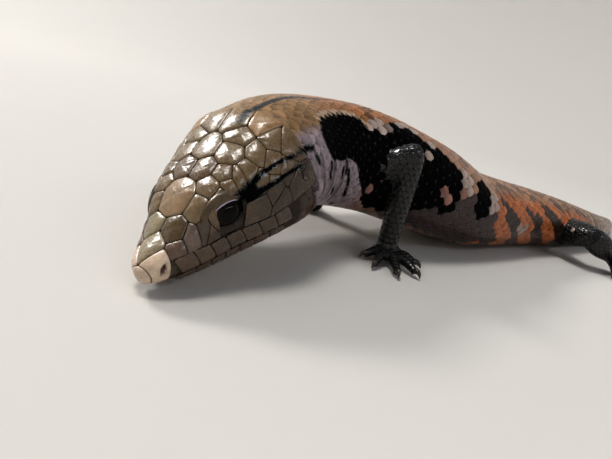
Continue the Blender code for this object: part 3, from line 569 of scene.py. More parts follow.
def horn_grain():
    """Node group: pigment broken up by coarse and fine grain, with a roughness and a height."""
    tree = bpy.data.node_groups.new("horn_grain", "ShaderNodeTree")
    for way, names in (("INPUT", GRAIN_INPUTS), ("OUTPUT", GRAIN_OUTPUTS)):
        for name, kind in names:
            tree.interface.new_socket(name=name, in_out=way, socket_type="NodeSocket" + kind)
    source = tree.nodes.new("NodeGroupInput")
    result = tree.nodes.new("NodeGroupOutput")
    where = add_node(tree, "TexCoord")
    coarse, fine = (add_node(tree, "TexNoise", [("Vector", where.outputs["Object"]), ("Detail", detail),
                                                ("Scale", source.outputs[name])])
                    for name, detail in (("Coarse Scale", COARSE_DETAIL), ("Fine Scale", FINE_DETAIL)))
    low, high = (add_node(tree, "Math", [(0, 1.0), (1, source.outputs["Mottle"])], operation=step)
                 for step in ("SUBTRACT", "ADD"))
    spread = add_node(tree, "MapRange", [
        ("Value", coarse.outputs["Fac"]), ("From Min", MOTTLE_SPAN[0]), ("From Max", MOTTLE_SPAN[1]),
        ("To Min", low.outputs[0]), ("To Max", high.outputs[0])])
    shade = add_node(tree, "Mix", data_type="RGBA", blend_type="MULTIPLY")
    set_inputs(tree, shade, [("Factor", 1.0), (COLOUR_A, source.outputs["Pigment"]),
                             (COLOUR_B, spread.outputs["Result"])])
    gloss = add_node(tree, "MapRange", [
        ("Value", fine.outputs["Fac"]), ("From Min", GLOSS_SPAN[0]), ("From Max", GLOSS_SPAN[1]),
        ("To Min", source.outputs["Rough Low"]), ("To Max", source.outputs["Rough High"])])
    bumps = add_node(tree, "Math", [(0, coarse.outputs["Fac"]), (1, fine.outputs["Fac"])], operation="ADD")
    set_inputs(tree, result, [("Color", shade.outputs[MIXED]), ("Roughness", gloss.outputs["Result"]),
                              ("Height", bumps.outputs[0])])
    return tree


GRAIN = horn_grain()
print("grain group has", len(GRAIN.nodes), "nodes")

# %% Finish maker
BUMP_DISTANCE = 0.0002


def finish(name, coarse, fine, mottle, rough, bump, coat, coat_rough, mirror):
    """A keratin finish that reads the stored colour and breaks it up with the grain."""
    made = bpy.data.materials.new(name)
    made.use_nodes = True
    tree = made.node_tree
    stored = add_node(tree, "VertexColor", layer_name="tint")
    grain = add_node(tree, "Group", node_tree=GRAIN)
    set_inputs(tree, grain, [
        ("Pigment", stored.outputs["Color"]), ("Coarse Scale", coarse), ("Fine Scale", fine),
        ("Mottle", mottle), ("Rough Low", rough[0]), ("Rough High", rough[1])])
    relief = add_node(tree, "Bump", [("Strength", bump), ("Distance", BUMP_DISTANCE),
                                     ("Height", grain.outputs["Height"])])
    set_inputs(tree, tree.nodes["Principled BSDF"], [
        ("Base Color", grain.outputs["Color"]), ("Roughness", grain.outputs["Roughness"]),
        ("Normal", relief.outputs["Normal"]), ("Coat Weight", coat), ("Coat Roughness", coat_rough),
        ("Specular IOR Level", mirror)])
    return made


# Coarse and fine grain, mottle, roughness, bump, coat, its roughness and the mirror of each finish
SHIELD_FINISH = finish("polished_shield", 420, 1300, 0.20, (0.21, 0.36), 0.36, 0.24, 0.14, 0.42)
SCALE_FINISH = finish("horny_scale", 300, 1700, 0.24, (0.24, 0.42), 0.35, 0.12, 0.14, 0.3)
JET_FINISH = finish("jet_scale", 300, 1700, 0.20, (0.28, 0.45), 0.25, 0.0, 0.2, 0.01)
LEG_FINISH = finish("black_leg_scale", 500, 1700, 0.20, (0.20, 0.32), 0.30, 0.4, 0.20, 0.3)
SKIN_FINISH = finish("soft_skin", 500, 2600, 0.22, (0.5, 0.7), 0.45, 0.0, 0.2, 0.3)
CLAW_FINISH = finish("dark_claw", 400, 2400, 0.15, (0.2, 0.35), 0.15, 0.2, 0.1, 0.4)
EYE_FINISH = finish("wet_eye", 600, 3000, 0.12, (0.05, 0.08), 0.0, 0.16, 0.02, 0.04)
print("finishes made")

# %% [markdown]
# ## Markings
#
# The markings are not noise: they have places. A black streak runs back from the eye, a jet black
# patch covers the shoulder, pale blotches sit along the flank, rust bars stand behind them and
# rings run down the tail. Each is written as a shape on the unrolled skin, and one function tells
# the colour anywhere. The scales of trunk and tail ask it once each, at their middle, so their
# markings get the stepped edge that real ones have. The head shields and the neck scales ask it at
# each point, because there the streak and the dashes are finer than a scale.

# %% Pigments
# Linear red, green and blue
BLACK = (0.0025, 0.0025, 0.003)
BLUE_BLACK = (0.017, 0.020, 0.025)
RUST = (0.265, 0.112, 0.042)
NAPE = (0.245, 0.150, 0.075)
UMBER = (0.024, 0.011, 0.007)
BAR_RUST = (0.36, 0.105, 0.028)
BLOTCH = (0.34, 0.265, 0.23)
PINK_BLOTCH = (0.24, 0.115, 0.09)
FLANK_DARK = (0.034, 0.017, 0.016)
NECK_PALE = (0.255, 0.205, 0.225)
CREAM = (0.34, 0.24, 0.165)
BELLY = (0.30, 0.19, 0.14)
TAIL_BROWN = (0.19, 0.095, 0.050)
TAIL_PALE = (0.30, 0.20, 0.135)
OLIVE = (0.128, 0.086, 0.045)
FRONTAL = (0.185, 0.122, 0.068)
DARK_OLIVE = (0.068, 0.044, 0.020)
REAR_CROWN = (0.140, 0.098, 0.053)
SNOUT = (0.20, 0.160, 0.105)
NASAL = (0.48, 0.37, 0.28)
# the lip and cheek colours are darker than the animal's own: partly its darker cheek tone, partly painted
# shade of the lower side of the head
SHADED_LIP = (0.054, 0.033, 0.019)
SHADED_CHEEK = (0.050, 0.031, 0.019)
JAW = (0.055, 0.026, 0.013)
NOSTRIL_RED = (0.08, 0.008, 0.006)
LEG_BLACK = (0.005, 0.005, 0.0055)


def blend_to(colours, other, amount):
    """Colours moved towards another one by an amount for each point."""
    amount = np.clip(np.asarray(amount, float), 0, 1)[..., None]
    return colours * (1 - amount) + np.asarray(other) * amount


def ramp(x, start, end):
    """0 before start, 1 after end, smooth between; works backwards too."""
    t = np.clip((np.asarray(x, float) - start) / (end - start), 0, 1)
    return t * t * (3 - 2 * t)


def between(x, low, high):
    """True where a value lies between two others."""
    return (x > low) & (x < high)


def washed(ground, s, height, washes):
    """A ground colour under washes; each has a pigment, a strength, and the ramps along the body and
    up its side that it fades by."""
    colour = np.zeros(s.shape + (3,)) + ground
    for pigment, strength, along, upwards in washes:
        amount = np.full(s.shape, strength)
        for span in along:
            amount = amount * ramp(s, *span)
        for span in upwards:
            amount = amount * ramp(height, *span)
        colour = blend_to(colour, pigment, amount)
    return colour


print("pigments ready")

# %% Markings of neck, trunk and tail
# Outlines and lines are given as places: millimetres along the body, and degrees up its side
PATCH_TOP = smooth_curve([(63, 26), (64.5, 33), (66.4, 39), (74, 47.5), (82, 53), (88.6, 54), (94, 51),
                          (95.8, 45), (100, 41), (105.4, 43.5), (110, 51), (114.4, 62), (118, 61),
                          (121, 57), (129, 54), (136, 50), (141, 44), (144.5, 32), (148, 24), (154, 30),
                          (160, 40), (168, 37), (200, 36)])
PATCH_BOTTOM = smooth_curve([(63, 21), (64, 11), (67, 5.5), (74, 6), (81, 9), (86, 7), (89.2, 2), (92, -6),
                             (96.4, -16), (100.6, -28), (108, -42), (122, -40), (134, -12), (200, -20)])
# Place and two reaches of each spot
BLOTCHES = [(105, 50, 6.5, 7), (99, 44, 3, 3.2), (115.5, 66, 3.6, 5), (120.4, 60, 3, 3.6),
            (130.6, 51, 4.5, 5), (127.6, 35, 2.2, 7), (150, 27, 4.4, 14), (173.5, 20, 4.5, 15),
            (207.4, -6, 5.5, 9)]
PINK_BLOTCHES = [(137, 6, 5, 7.5), (105.4, -5, 1.9, 4), (101.8, -15, 2.2, 6), (149.6, 13, 4.5, 5)]
DASHES = [[(65.2, 2), (64.2, -2)], [(63, -5), (64, -9)], [(67.6, -10), (69.4, -15)], [(73, -21), (75, -27)],
          [(80, 6), (81, -1)], [(82.6, -1), (84.2, -8)], [(84.4, -10), (85.2, -15)], [(85.4, -18), (86, -23)],
          [(86.6, -25), (88, -29)], [(78, 1), (78.6, -6)], [(56.8, 12), (57.4, 7)], [(53.4, 22), (56.6, 19)],
          [(53.8, -33), (55.4, -38)], [(86.6, -48), (88.6, -54)], [(69.4, 3), (69.8, 0)]]
DASH_WIDE, DASH_CORE = 1.35, 0.7
TOOTH_SPAN, TOOTH_STEP, TOOTH_HIGH, TOOTH_SHARP = (66, 97), 3.2, 4.5, 2.4
DEGREE = 0.38    # millimetres that a degree up the side of the neck is worth
NAPE_STRIPE = [(46, 78), (62, 76), (74, 78), (88, 82)]
NAPE_WIDTH = [(46, 1.6), (50, 3.8), (74, 3.2), (88, 1.3)]
BODY_WASHES = [(NAPE, 1.0, [(92, 60)], []), (TAIL_BROWN, 1.0, [(215, 300)], []),
               (BLOTCH, 0.35, [(96, 120), (200, 160)], [(70, 50)]),
               (NECK_PALE, 1.0, [(112, 92)], [(40, 28)]),
               (FLANK_DARK, 1.0, [(108, 126), (200, 176)], [(24, 14)])]
RIGHT_SHIFT = 3.5    # the right side's markings stand a little further forward
PATCH_SPAN, REAR_PATCH_SPAN, REAR_PATCH_FOOT, PATCH_WAVER = (63, 146), (156, 170), -4, 3
RIM_SPAN, RIM_HIGH = (66, 116), 8
BAR_PERIOD, BAR_FIRST, BAR_LAST, BAR_SLOPE = 27.5, 176.0, 300, 0.42
BAR_FOOT, BAR_TOP, BAR_DARK, BAR_WAVER = -58, 44, (0.26, 0.74), 10
SADDLE_FOOT, SADDLE_DARK, SADDLE_TINT = 40, (0.3, 0.7), np.array(UMBER) * 2.6
BAND_FIRST, BAND_FOOT, BAND_PERIOD, BAND_DARK, BAND_TINT = 125, 62, 17.0, 0.62, np.array(UMBER) * 1.8
GAP_CHANCE = -0.1    # scales with less wobble than this stay out of saddles and bands
RING_PERIOD, RING_START, RING_STRENGTH = 9.6, (285, 310), 0.65
BELLY_EDGE, SPECK_PERIOD, SPECK_SHARE, SPECK_DARK = (-48, -62), 14.0, 0.72, 0.25
WOBBLE_TINT = 0.16


def line_distance(s, height, corners):
    """Distance in millimetres from a bent line on the side of the head."""
    x, y = s, height * DEGREE
    least = np.full(np.shape(s), 1e9)
    for (xa, ya), (xb, yb) in zip(corners, corners[1:]):
        ya, yb = ya * DEGREE, yb * DEGREE
        t = np.clip(((x - xa) * (xb - xa) + (y - ya) * (yb - ya)) / ((xb - xa)**2 + (yb - ya)**2), 0, 1)
        least = np.minimum(least, np.hypot(x - xa - t * (xb - xa), y - ya - t * (yb - ya)))
    return least


def inside_spots(s, height, spots):
    """True where a place lies in one of the oval spots."""
    found = np.zeros(np.shape(s), bool)
    for at, turn, reach, spread in spots:
        found |= ((s - at) / reach)**2 + ((height - turn) / spread)**2 < 1
    return found


def body_colour(s, angle, wobble):
    """Pigment of the neck, trunk and tail; wobble is a small random number for each scale."""
    s, angle = np.asarray(s, float), np.asarray(angle, float)
    height = folded_angle(angle)
    s = np.where(np.cos(np.radians(angle)) < 0, s + RIGHT_SHIFT, s)
    colour = washed(RUST, s, height, BODY_WASHES)
    under_edge = height < PATCH_TOP(s) + PATCH_WAVER * wobble
    patch = between(s, *PATCH_SPAN) & under_edge & (height > PATCH_BOTTOM(s))
    patch |= between(s, *REAR_PATCH_SPAN) & under_edge & (height > REAR_PATCH_FOOT)
    rim = between(s, *RIM_SPAN) & (height >= PATCH_TOP(s)) & (height < PATCH_TOP(s) + RIM_HIGH)
    colour[rim] = CREAM
    phase = (s + BAR_SLOPE * (height - 20) - BAR_FIRST) / BAR_PERIOD % 1
    barred = between(s, BAR_FIRST, BAR_LAST) & (height > BAR_FOOT)
    colour[barred & (height < BAR_TOP)] = BAR_RUST
    colour[barred & between(phase, *BAR_DARK) & (height < 34 + BAR_WAVER * wobble)] = UMBER
    filled = wobble > GAP_CHANCE
    colour[barred & (height >= SADDLE_FOOT) & between(phase, *SADDLE_DARK) & filled] = SADDLE_TINT
    banded = (s > BAND_FIRST) & (s <= BAR_FIRST) & (height > BAND_FOOT)
    colour[banded & (s / BAND_PERIOD % 1 > BAND_DARK) & filled] = BAND_TINT
    colour[patch] = BLACK
    colour[inside_spots(s, height, BLOTCHES)] = BLOTCH
    colour[inside_spots(s, height, PINK_BLOTCHES)] = PINK_BLOTCH
    ring = np.where((s / RING_PERIOD % 1 > 0.5)[..., None], TAIL_PALE, UMBER)
    ringed = (1 - RING_STRENGTH) * np.asarray(TAIL_BROWN) + RING_STRENGTH * ring
    colour = blend_to(colour, ringed, ramp(s, *RING_START))
    speck = np.where((s / SPECK_PERIOD + 0.3 * wobble) % 1 > SPECK_SHARE, SPECK_DARK, 1.0)
    colour = blend_to(colour, np.asarray(BELLY) * speck[..., None], ramp(height, *BELLY_EDGE))
    return colour * (1 + WOBBLE_TINT * wobble[..., None])


def fine_marks(s, angle):
    """How far a place is covered by the nape stripe and the thin dashes, which are finer than scales."""
    height = folded_angle(angle)
    line = np.interp(s, *np.array(NAPE_STRIPE).T)
    wide = np.interp(s, *np.array(NAPE_WIDTH).T)
    stripe = ramp(np.abs(angle - line), wide, wide * DASH_CORE)
    stripe = stripe * between(s, NAPE_STRIPE[0][0], NAPE_STRIPE[-1][0])
    near = np.min([line_distance(s, height, corners) for corners in DASHES], axis=0)
    above = height - PATCH_TOP(s)
    tooth = TOOTH_HIGH * (1 - TOOTH_SHARP * np.abs(s / TOOTH_STEP % 1 - 0.5))
    teeth = between(s, *TOOTH_SPAN) & (above >= -1) & (above < tooth)
    return stripe, np.maximum(ramp(near, DASH_WIDE, DASH_WIDE * DASH_CORE), teeth)


print("pigment at the shoulder", body_colour(np.array([85.0]), np.array([30.0]), np.zeros(1))[0].round(3))

# %% Markings of the head
STREAK_UPPER = [(28, 28), (33, 31), (37, 32), (43.6, 28), (47.6, 24), (50.4, 21.5)]
STREAK_LOWER = [(31, 20), (36.8, 18), (42.4, 16.5), (47, 15), (50.6, 12.5)]
HEAD_SPOTS = [(53.4, 21.5, 1.5, 4), (55.2, 19, 1.2, 3), (57.2, 10, 0.9, 3.4), (50.8, 24, 1.0, 2.6)]
STREAK_WIDTH = [(28, 2.7), (32, 2.2), (36, 1.3), (42, 0.85), (60, 0.8)]
STREAK_CORE = 0.75
STREAK_ROOT, STREAK_ROOT_HIGH = (27.0, 33.5), (17, 33)    # where it is one black wedge behind the eye
# the lip and cheek washes darken the lower side of the head: partly its own darker tone, partly painted shade
HEAD_WASHES = [(REAR_CROWN, 1.0, [(30, 42)], [(30, 55)]), (NAPE, 1.0, [(46, 56)], [(35, 60)]),
               (SHADED_LIP, 1.0, [(32, 26)], [(24, 8)]), (SHADED_CHEEK, 1.0, [(26, 32)], [(26, 12)]),
               (NECK_PALE, 1.0, [(50, 58)], [(34, 18)]), (SNOUT, 1.0, [(8, 5)], [])]
JAW_EDGE, CHIN_EDGE = (0.4, -0.4), (-40, -70)


def head_colour(s, angle):
    """Pigment of the head at any point."""
    s, angle = np.broadcast_arrays(np.asarray(s, float), np.asarray(angle, float))
    height = folded_angle(angle)
    colour = washed(OLIVE, s, height, HEAD_WASHES)
    lower = washed(JAW, s, height, [(CREAM, 1.0, [], [CHIN_EDGE])])
    colour = blend_to(colour, lower, ramp(section(s, angle)[1] - mouth_line(s), *JAW_EDGE))
    width = np.interp(s, *np.array(STREAK_WIDTH).T)
    near = np.minimum(line_distance(s, height, STREAK_UPPER), line_distance(s, height, STREAK_LOWER))
    colour = blend_to(colour, BLACK, ramp(near, width, width * STREAK_CORE))
    colour[between(s, *STREAK_ROOT) & between(height, *STREAK_ROOT_HIGH)] = BLACK
    colour[inside_spots(s, height, HEAD_SPOTS)] = BLACK
    stripe, dash = fine_marks(s, angle)
    return blend_to(blend_to(colour, BLUE_BLACK, stripe), BLACK, dash)


print("pigment of the crown", head_colour(np.array([25.0]), np.array([90.0]))[0].round(3))

# %% [markdown]
# ## Legs as tubes
#
# A leg is a bent tube with a palm and five digits at its end. Each tube keeps its path, two axes
# square to it and a radius, so that a place on it is again a distance along and a fraction round,
# and the same scale maker can work on a leg as on the trunk.

# %% Tubes
FRONT_LEG = dict(root_station=100.0, root_rise=-6.0, root_depth=13.0,
                 elbow=(-12.8, 12.5, 45.0), wrist=(-17.0, 10.5, 8.0), palm=(-18.5, 10.5, 3.0),
                 radii=(7.0, 5.2, 4.9, 4.5, 4.8), digits=(-5, 28, 60, 92, 132),
                 lengths=(8.5, 12.5, 14.5, 13.5, 9.5))
HIND_LEG = dict(root_station=272.0, root_rise=-3.0, root_depth=12.0,
                elbow=(9.0, 24.0, 19.0), wrist=(-13.0, 30.0, 8.0), palm=(-14.0, 36.0, 3.0),
                radii=(10.0, 8.0, 6.0, 4.4, 4.8), digits=(12, 38, 62, 88, 128),
                lengths=(8.0, 12.0, 15.0, 16.5, 11.0))
UPPER_BULGE = 1.5
LEG_CROSSING = 0.45    # share of the upper leg, from its root, at which it leaves the body
DIGIT_THICK, DIGIT_SAMPLES, DIGIT_ROOT = (2.6, 1.75), 24, 2.5
UPPER_SAMPLES, LOWER_SAMPLES = 40, 60
UP = np.array([0, 0, 1.0])


def limb_curve(points, samples):
    """A smooth path through a few joints of a limb."""
    points = np.array(points, float)
    knots = np.concatenate([[0], np.cumsum(np.linalg.norm(np.diff(points, axis=0), axis=1))])
    tangent = np.zeros_like(points)
    tangent[1:-1] = (points[2:] - points[:-2]) / (knots[2:] - knots[:-2])[:, None]
    tangent[0] = (points[1] - points[0]) / (knots[1] - knots[0])
    tangent[-1] = (points[-1] - points[-2]) / (knots[-1] - knots[-2])
    path = []
    for x in np.linspace(0, knots[-1], samples):
        i = min(np.searchsorted(knots, x, side="right") - 1, len(knots) - 2)
        h = knots[i + 1] - knots[i]
        t = (x - knots[i]) / h
        path.append((2 * t**3 - 3 * t**2 + 1) * points[i] + (t**3 - 2 * t**2 + t) * h * tangent[i]
                    + (3 * t**2 - 2 * t**3) * points[i + 1] + (t**3 - t**2) * h * tangent[i + 1])
    return np.array(path)


def make_tube(path, radii, flatten=1.0):
    """Path, distance along it, axes and radii of a limb, ready for places on it."""
    way = np.gradient(path, axis=0)
    way /= np.linalg.norm(way, axis=1)[:, None]
    side = np.cross(way[0], UP)
    sides, overs = [], []
    for w in way:
        side = side - w * (side @ w)
        side /= np.linalg.norm(side)
        sides.append(side)
        overs.append(np.cross(side, w))
    distance = np.concatenate([[0], np.cumsum(np.linalg.norm(np.diff(path, axis=0), axis=1))])
    return dict(path=path, side=np.array(sides), over=np.array(overs), radii=np.array(radii),
                distance=distance, flatten=flatten)


def tube_point(tube, along, fraction, lift=0.0):
    """A point of a tube, lifted off it, and the outward direction."""
    d = tube["distance"]

    def at(values):
        return np.stack([np.interp(along, d, values[:, k]) for k in range(3)], -1)
    turn = 2 * math.pi * np.asarray(fraction)
    flat = tube["flatten"]
    radius = np.interp(along, d, tube["radii"])
    side, over = at(tube["side"]), at(tube["over"])
    out = side * np.cos(turn)[..., None] + over * np.sin(turn)[..., None]
    ring = side * np.cos(turn)[..., None] + over * (flat * np.sin(turn))[..., None]
    point = at(tube["path"]) + ring * radius[..., None]
    return point + out * np.asarray(lift)[..., None], out


def leg_parts(plan, side):
    """The tubes and the palm of one leg; side is 1 on the left and -1 on the right."""
    at = np.array(plan["root_station"])
    centre = along_spine(SPINE_CENTRE, at)
    forward = along_spine(SPINE_FORWARD, at) * [1, 1, 0]
    forward /= np.linalg.norm(forward)
    outward = along_spine(SPINE_LEFT, at) * [side, side, 0]
    outward /= np.linalg.norm(outward)
    edge = float(half_width(plan["root_station"]))

    def spot(step):
        flat = centre + forward * step[0] + outward * (edge + step[1] - 8.0)
        flat[2] = step[2]
        return flat
    inner = centre + outward * (edge - plan["root_depth"]) + UP * plan["root_rise"]
    elbow, wrist, palm = (spot(plan[key]) for key in ("elbow", "wrist", "palm"))
    root, middle, bend, narrow, cuff = plan["radii"]
    tip = elbow + (elbow - inner) / np.linalg.norm(elbow - inner) * bend * 0.7
    bulge = outward * UPPER_BULGE
    bulk = [inner, (inner * 2 + elbow) / 3 + bulge, (inner + elbow * 2) / 3 + bulge, elbow, tip]
    thick = [root, (root + middle) / 2, middle, bend, bend * 0.55]
    path = limb_curve(bulk, UPPER_SAMPLES)
    thickness = smooth_curve(list(zip((0, 0.3, 0.6, 0.85, 1), thick)))
    upper = make_tube(path, thickness(np.linspace(0, 1, UPPER_SAMPLES)))
    path = limb_curve([elbow, (elbow + wrist) / 2, wrist, palm], LOWER_SAMPLES)
    distance = np.concatenate([[0], np.cumsum(np.linalg.norm(np.diff(path, axis=0), axis=1))])
    ankle = float(distance[np.argmin(np.linalg.norm(path - wrist, axis=1))])
    radii = smooth_curve([(0, bend), (ankle * 0.35, (middle + bend) / 2), (ankle, narrow),
                          (distance[-1], cuff)])
    lower = make_tube(path, radii(distance))
    digits = []
    for turn, length in zip(plan["digits"], plan["lengths"]):
        a = math.radians(turn)
        way = forward * math.cos(a) + outward * math.sin(a)
        base = palm + way * DIGIT_ROOT
        bends = limb_curve([base + UP * 0.3, base + way * length * 0.45 + UP * 1.0,
                            base + way * length * 0.8, base + way * length - UP * 0.9], DIGIT_SAMPLES)
        digits.append((make_tube(bends, np.linspace(*DIGIT_THICK, DIGIT_SAMPLES)), way))
    return dict(upper=upper, lower=lower, digits=digits, palm=palm + UP * 0.6, forward=forward,
                outward=outward, elbow=elbow, crossing=inner + (elbow - inner) * LEG_CROSSING)


def tubes_of(leg):
    """All tubes of a leg."""
    return [leg["upper"], leg["lower"]] + [digit for digit, way in leg["digits"]]


LEGS = {f"{word}_{hand}": leg_parts(plan, side)
        for word, plan in (("front", FRONT_LEG), ("hind", HIND_LEG))
        for hand, side in (("left", 1), ("right", -1))}
PALM_HIGH, PALM_WIDE = 4.2, 6.4
print("legs", list(LEGS))

# %% [markdown]
# ## One skin
#
# Under the scales lies one skin, from snout to tail and down every leg. Where a leg leaves the body
# there must be no seam, only a soft hollow. Joining by hand would be slow; instead the closed body
# and the closed tubes are laid into each other, and Blender's voxel remesh melts them into a single
# surface, like wax. The places where legs meet the body and where they bend are then smoothed more
# than the rest. The skin lies a little inside the solids, by the thickness of the coat.

# %% Melt body and legs into one skin
COAT_DEPTH = smooth_curve([(0, 0.25), (48, 0.25), (60, 0.55), (420, 0.5), (510, 0.3)])
LEG_DEPTH, DIGIT_DEPTH, DIGIT_LIMIT = 0.45, 0.25, 3
BODY_SPOKES, TUBE_SPOKES, PALM_RINGS = 144, 24, 9
BODY_FLOOR, LEG_FLOOR = 0.5, 0.3    # the skin stays so far above the ground
HEAD_LENGTH = 60
SOCKET_MARGIN, SOCKET_DEEPEST = 0.9, 4.0
VOXEL = 0.00085


def closed_rings(work, rings, lowest):
    """Add a closed tube through rings of points to a bmesh, kept above a lowest height."""
    rings = np.array(rings)
    rings[..., 2] = np.maximum(rings[..., 2], lowest)
    rows = [[work.verts.new(p * MM) for p in ring] for ring in rings]
    for a, b in zip(rows, rows[1:]):
        for j in range(len(a)):
            k = (j + 1) % len(a)
            work.faces.new((a[j], a[k], b[k], b[j]))
    for row in (rows[0], rows[-1]):
        middle = work.verts.new(sum((v.co for v in row), Vector()) / len(row))
        for j in range(len(row)):
            work.faces.new((row[j], row[(j + 1) % len(row)], middle))


def eye_frame(side):
    """Centre of an eyeball and its axes: outwards, forwards along the lids, and upwards."""
    angle = EYE_ANGLE if side > 0 else 180 - EYE_ANGLE
    point, normal = skin_point(np.array(EYE_STATION), np.array(angle))
    forward = along_spine(SPINE_FORWARD, np.array(EYE_STATION))
    forward = forward - normal * (forward @ normal)
    forward /= np.linalg.norm(forward)
    above = np.cross(normal, forward)
    if above @ along_spine(SPINE_UP, np.array(EYE_STATION)) < 0:
        above = -above
    return point - normal * EYE_SUNK, normal, forward, above


def head_hollows(points, normals):
    """Skin points of the head pushed in at the eye sockets."""
    for side in (1, -1):
        centre, out, along, above = eye_frame(side)
        offset = points - centre
        away = np.linalg.norm([offset @ out, offset @ along / EYE_LONG, offset @ above / EYE_TALL], axis=0)
        push = np.clip(EYE_RADIUS + SOCKET_MARGIN - away, 0, SOCKET_DEEPEST)
        points = points - normals * push[..., None]
    return points


def body_rings():
    """Rings from snout to tail tip, closer together where the body bends more."""
    stations = np.concatenate([[0, 0.3, 0.8, 1.5, 2.4, 3.6], np.arange(5, 60, 0.8), np.arange(60, 300, 1.6),
                               np.arange(300, 509.5, 2.0)])
    angle = np.arange(BODY_SPOKES) * 360 / BODY_SPOKES + 90
    depth = np.repeat(COAT_DEPTH(stations)[:, None], BODY_SPOKES, 1)
    points, normals = skin_point(stations[:, None], angle[None, :], -depth)
    head = stations < HEAD_LENGTH
    points[head] = head_hollows(points[head], normals[head])
    return points


def palm_rings(leg):
    """Rings of the flattened ball that is the palm of a foot."""
    around = np.arange(TUBE_SPOKES) / TUBE_SPOKES * 2 * math.pi
    flat = np.outer(np.cos(around), leg["forward"]) + np.outer(np.sin(around), leg["outward"])
    return [leg["palm"] + UP * math.cos(turn) * (PALM_HIGH - LEG_DEPTH)
            + math.sin(turn) * (PALM_WIDE - LEG_DEPTH) * flat
            for turn in np.linspace(0.06, 0.94, PALM_RINGS) * math.pi]


def melted_skin():
    """Body and legs laid into each other and melted into one surface."""
    work = bmesh.new()
    closed_rings(work, body_rings(), BODY_FLOOR)
    around = np.arange(TUBE_SPOKES) / TUBE_SPOKES
    for leg in LEGS.values():
        for tube in tubes_of(leg):
            depth = np.full(TUBE_SPOKES, LEG_DEPTH if tube["radii"].max() > DIGIT_LIMIT else DIGIT_DEPTH)
            rings = [tube_point(tube, np.full(TUBE_SPOKES, d), around, -depth)[0]
                     for d in tube["distance"][::3]]
            closed_rings(work, rings, LEG_FLOOR)
        closed_rings(work, palm_rings(leg), LEG_FLOOR)
    bmesh.ops.recalc_face_normals(work, faces=work.faces)
    mesh = bpy.data.meshes.new("skin")
    work.to_mesh(mesh)
    work.free()
    made = new_object("skin", mesh)
    melt = made.modifiers.new("melt", "REMESH")
    melt.mode = "VOXEL"
    melt.voxel_size = VOXEL
    melt.use_smooth_shade = True
    bpy.context.view_layer.update()
    result = bpy.data.meshes.new_from_object(made.evaluated_get(bpy.context.evaluated_depsgraph_get()))
    made.modifiers.clear()
    made.data = result
    return made


skin = melted_skin()
print("skin faces", len(skin.data.polygons))

# %% [markdown]
# ## Soft hollows at the joints
#
# Smoothing moves each point towards the mean of its neighbours. Done everywhere it would melt the
# toes away, so each point gets a share that is large near shoulders, hips, elbows and knees and
# small elsewhere.

# %% Smooth the skin by place
SMOOTH_ROUNDS, SMOOTH_LEAST = 26, 0.06
SMOOTH_SPOTS = (("crossing", 13.0, 0.6), ("elbow", 7.0, 0.35))    # spot of a leg, reach and share


def soften(made):
    """Smooth the skin by place, and give its points in millimetres."""
    mesh = made.data
    count = len(mesh.vertices)
    points = np.empty(count * 3, np.float32)
    mesh.vertices.foreach_get("co", points)
    points = points.reshape(-1, 3).astype(float)
    edges = np.empty(len(mesh.edges) * 2, np.int32)
    mesh.edges.foreach_get("vertices", edges)
    edges = edges.reshape(-1, 2)
    share = np.full(count, SMOOTH_LEAST)
    for leg in LEGS.values():
        for spot, reach, most in SMOOTH_SPOTS:
            near = np.linalg.norm(points / MM - leg[spot], axis=1)
            share = np.maximum(share, most * ramp(near, reach, reach * 0.6))
    degree = np.bincount(edges.ravel(), minlength=count).astype(float)[:, None]
    for i in range(SMOOTH_ROUNDS):
        total = np.zeros_like(points)
        for k in range(3):
            total[:, k] = (np.bincount(edges[:, 0], points[edges[:, 1], k], count)
                           + np.bincount(edges[:, 1], points[edges[:, 0], k], count))
        points += (total / degree - points) * share[:, None]
    mesh.vertices.foreach_set("co", points.astype(np.float32).ravel())
    mesh.update()
    return points / MM


def tree_of(points):
    """A tree that finds the nearest of many points."""
    tree = kdtree.KDTree(len(points))
    for index, point in enumerate(points):
        tree.insert(point, index)
    tree.balance()
    return tree


skin_points = soften(skin)
skin_normals = np.empty(len(skin_points) * 3, np.float32)
skin.data.vertex_normals.foreach_get("vector", skin_normals)
skin_normals = skin_normals.reshape(-1, 3)
skin_tree = BVHTree.FromPolygons([Vector(p) for p in skin_points],
                                 [p.vertices[:] for p in skin.data.polygons])
skin_near = tree_of(skin_points)
print("skin points", len(skin_points))

# %% Colour of the skin
SKIN_SHADE = 0.42    # the skin between the scales is darkened: painted shade of the gaps under them
NECK_START = 56
PROBES_ALONG, PROBES_ROUND = 20, 12


def colour_skin(made, points):
    """Each skin point takes the pigment of the nearest place of body or leg, darkened by painted shade."""
    s, angle = (x.ravel() for x in np.meshgrid(np.arange(0, BODY_LENGTH, 1.5), np.arange(0, 360, 4.0)))
    known = [skin_point(s, angle, -COAT_DEPTH(s))[0]]
    for leg in LEGS.values():
        for tube in tubes_of(leg):
            along = np.linspace(0.5 if tube is leg["upper"] else 0.0, 1, PROBES_ALONG) * tube["distance"][-1]
            along, fraction = (x.ravel() for x in np.meshgrid(along, np.arange(PROBES_ROUND) / PROBES_ROUND))
            known.append(tube_point(tube, along, fraction, np.full(len(along), -LEG_DEPTH))[0])
        known.append(leg["palm"][None] + UP * 3)
    known = np.concatenate(known)
    colours = np.zeros((len(known), 3)) + LEG_BLACK
    colours[:len(s)] = np.where((s < NECK_START)[:, None], head_colour(s, angle),
                                body_colour(s, angle, np.zeros(len(s))))
    tree = tree_of(known)
    nearest = np.array([tree.find(p)[1] for p in points])
    store_tints(made.data, colours[nearest] * SKIN_SHADE)


colour_skin(skin, skin_points)
skin.data.materials.clear()
skin.data.materials.append(SKIN_FINISH)
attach(skin, "root")
FLESH = [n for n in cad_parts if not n.startswith("eye_")]
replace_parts(skin, *FLESH)
print("the skin stands for", len(FLESH), "nodes")
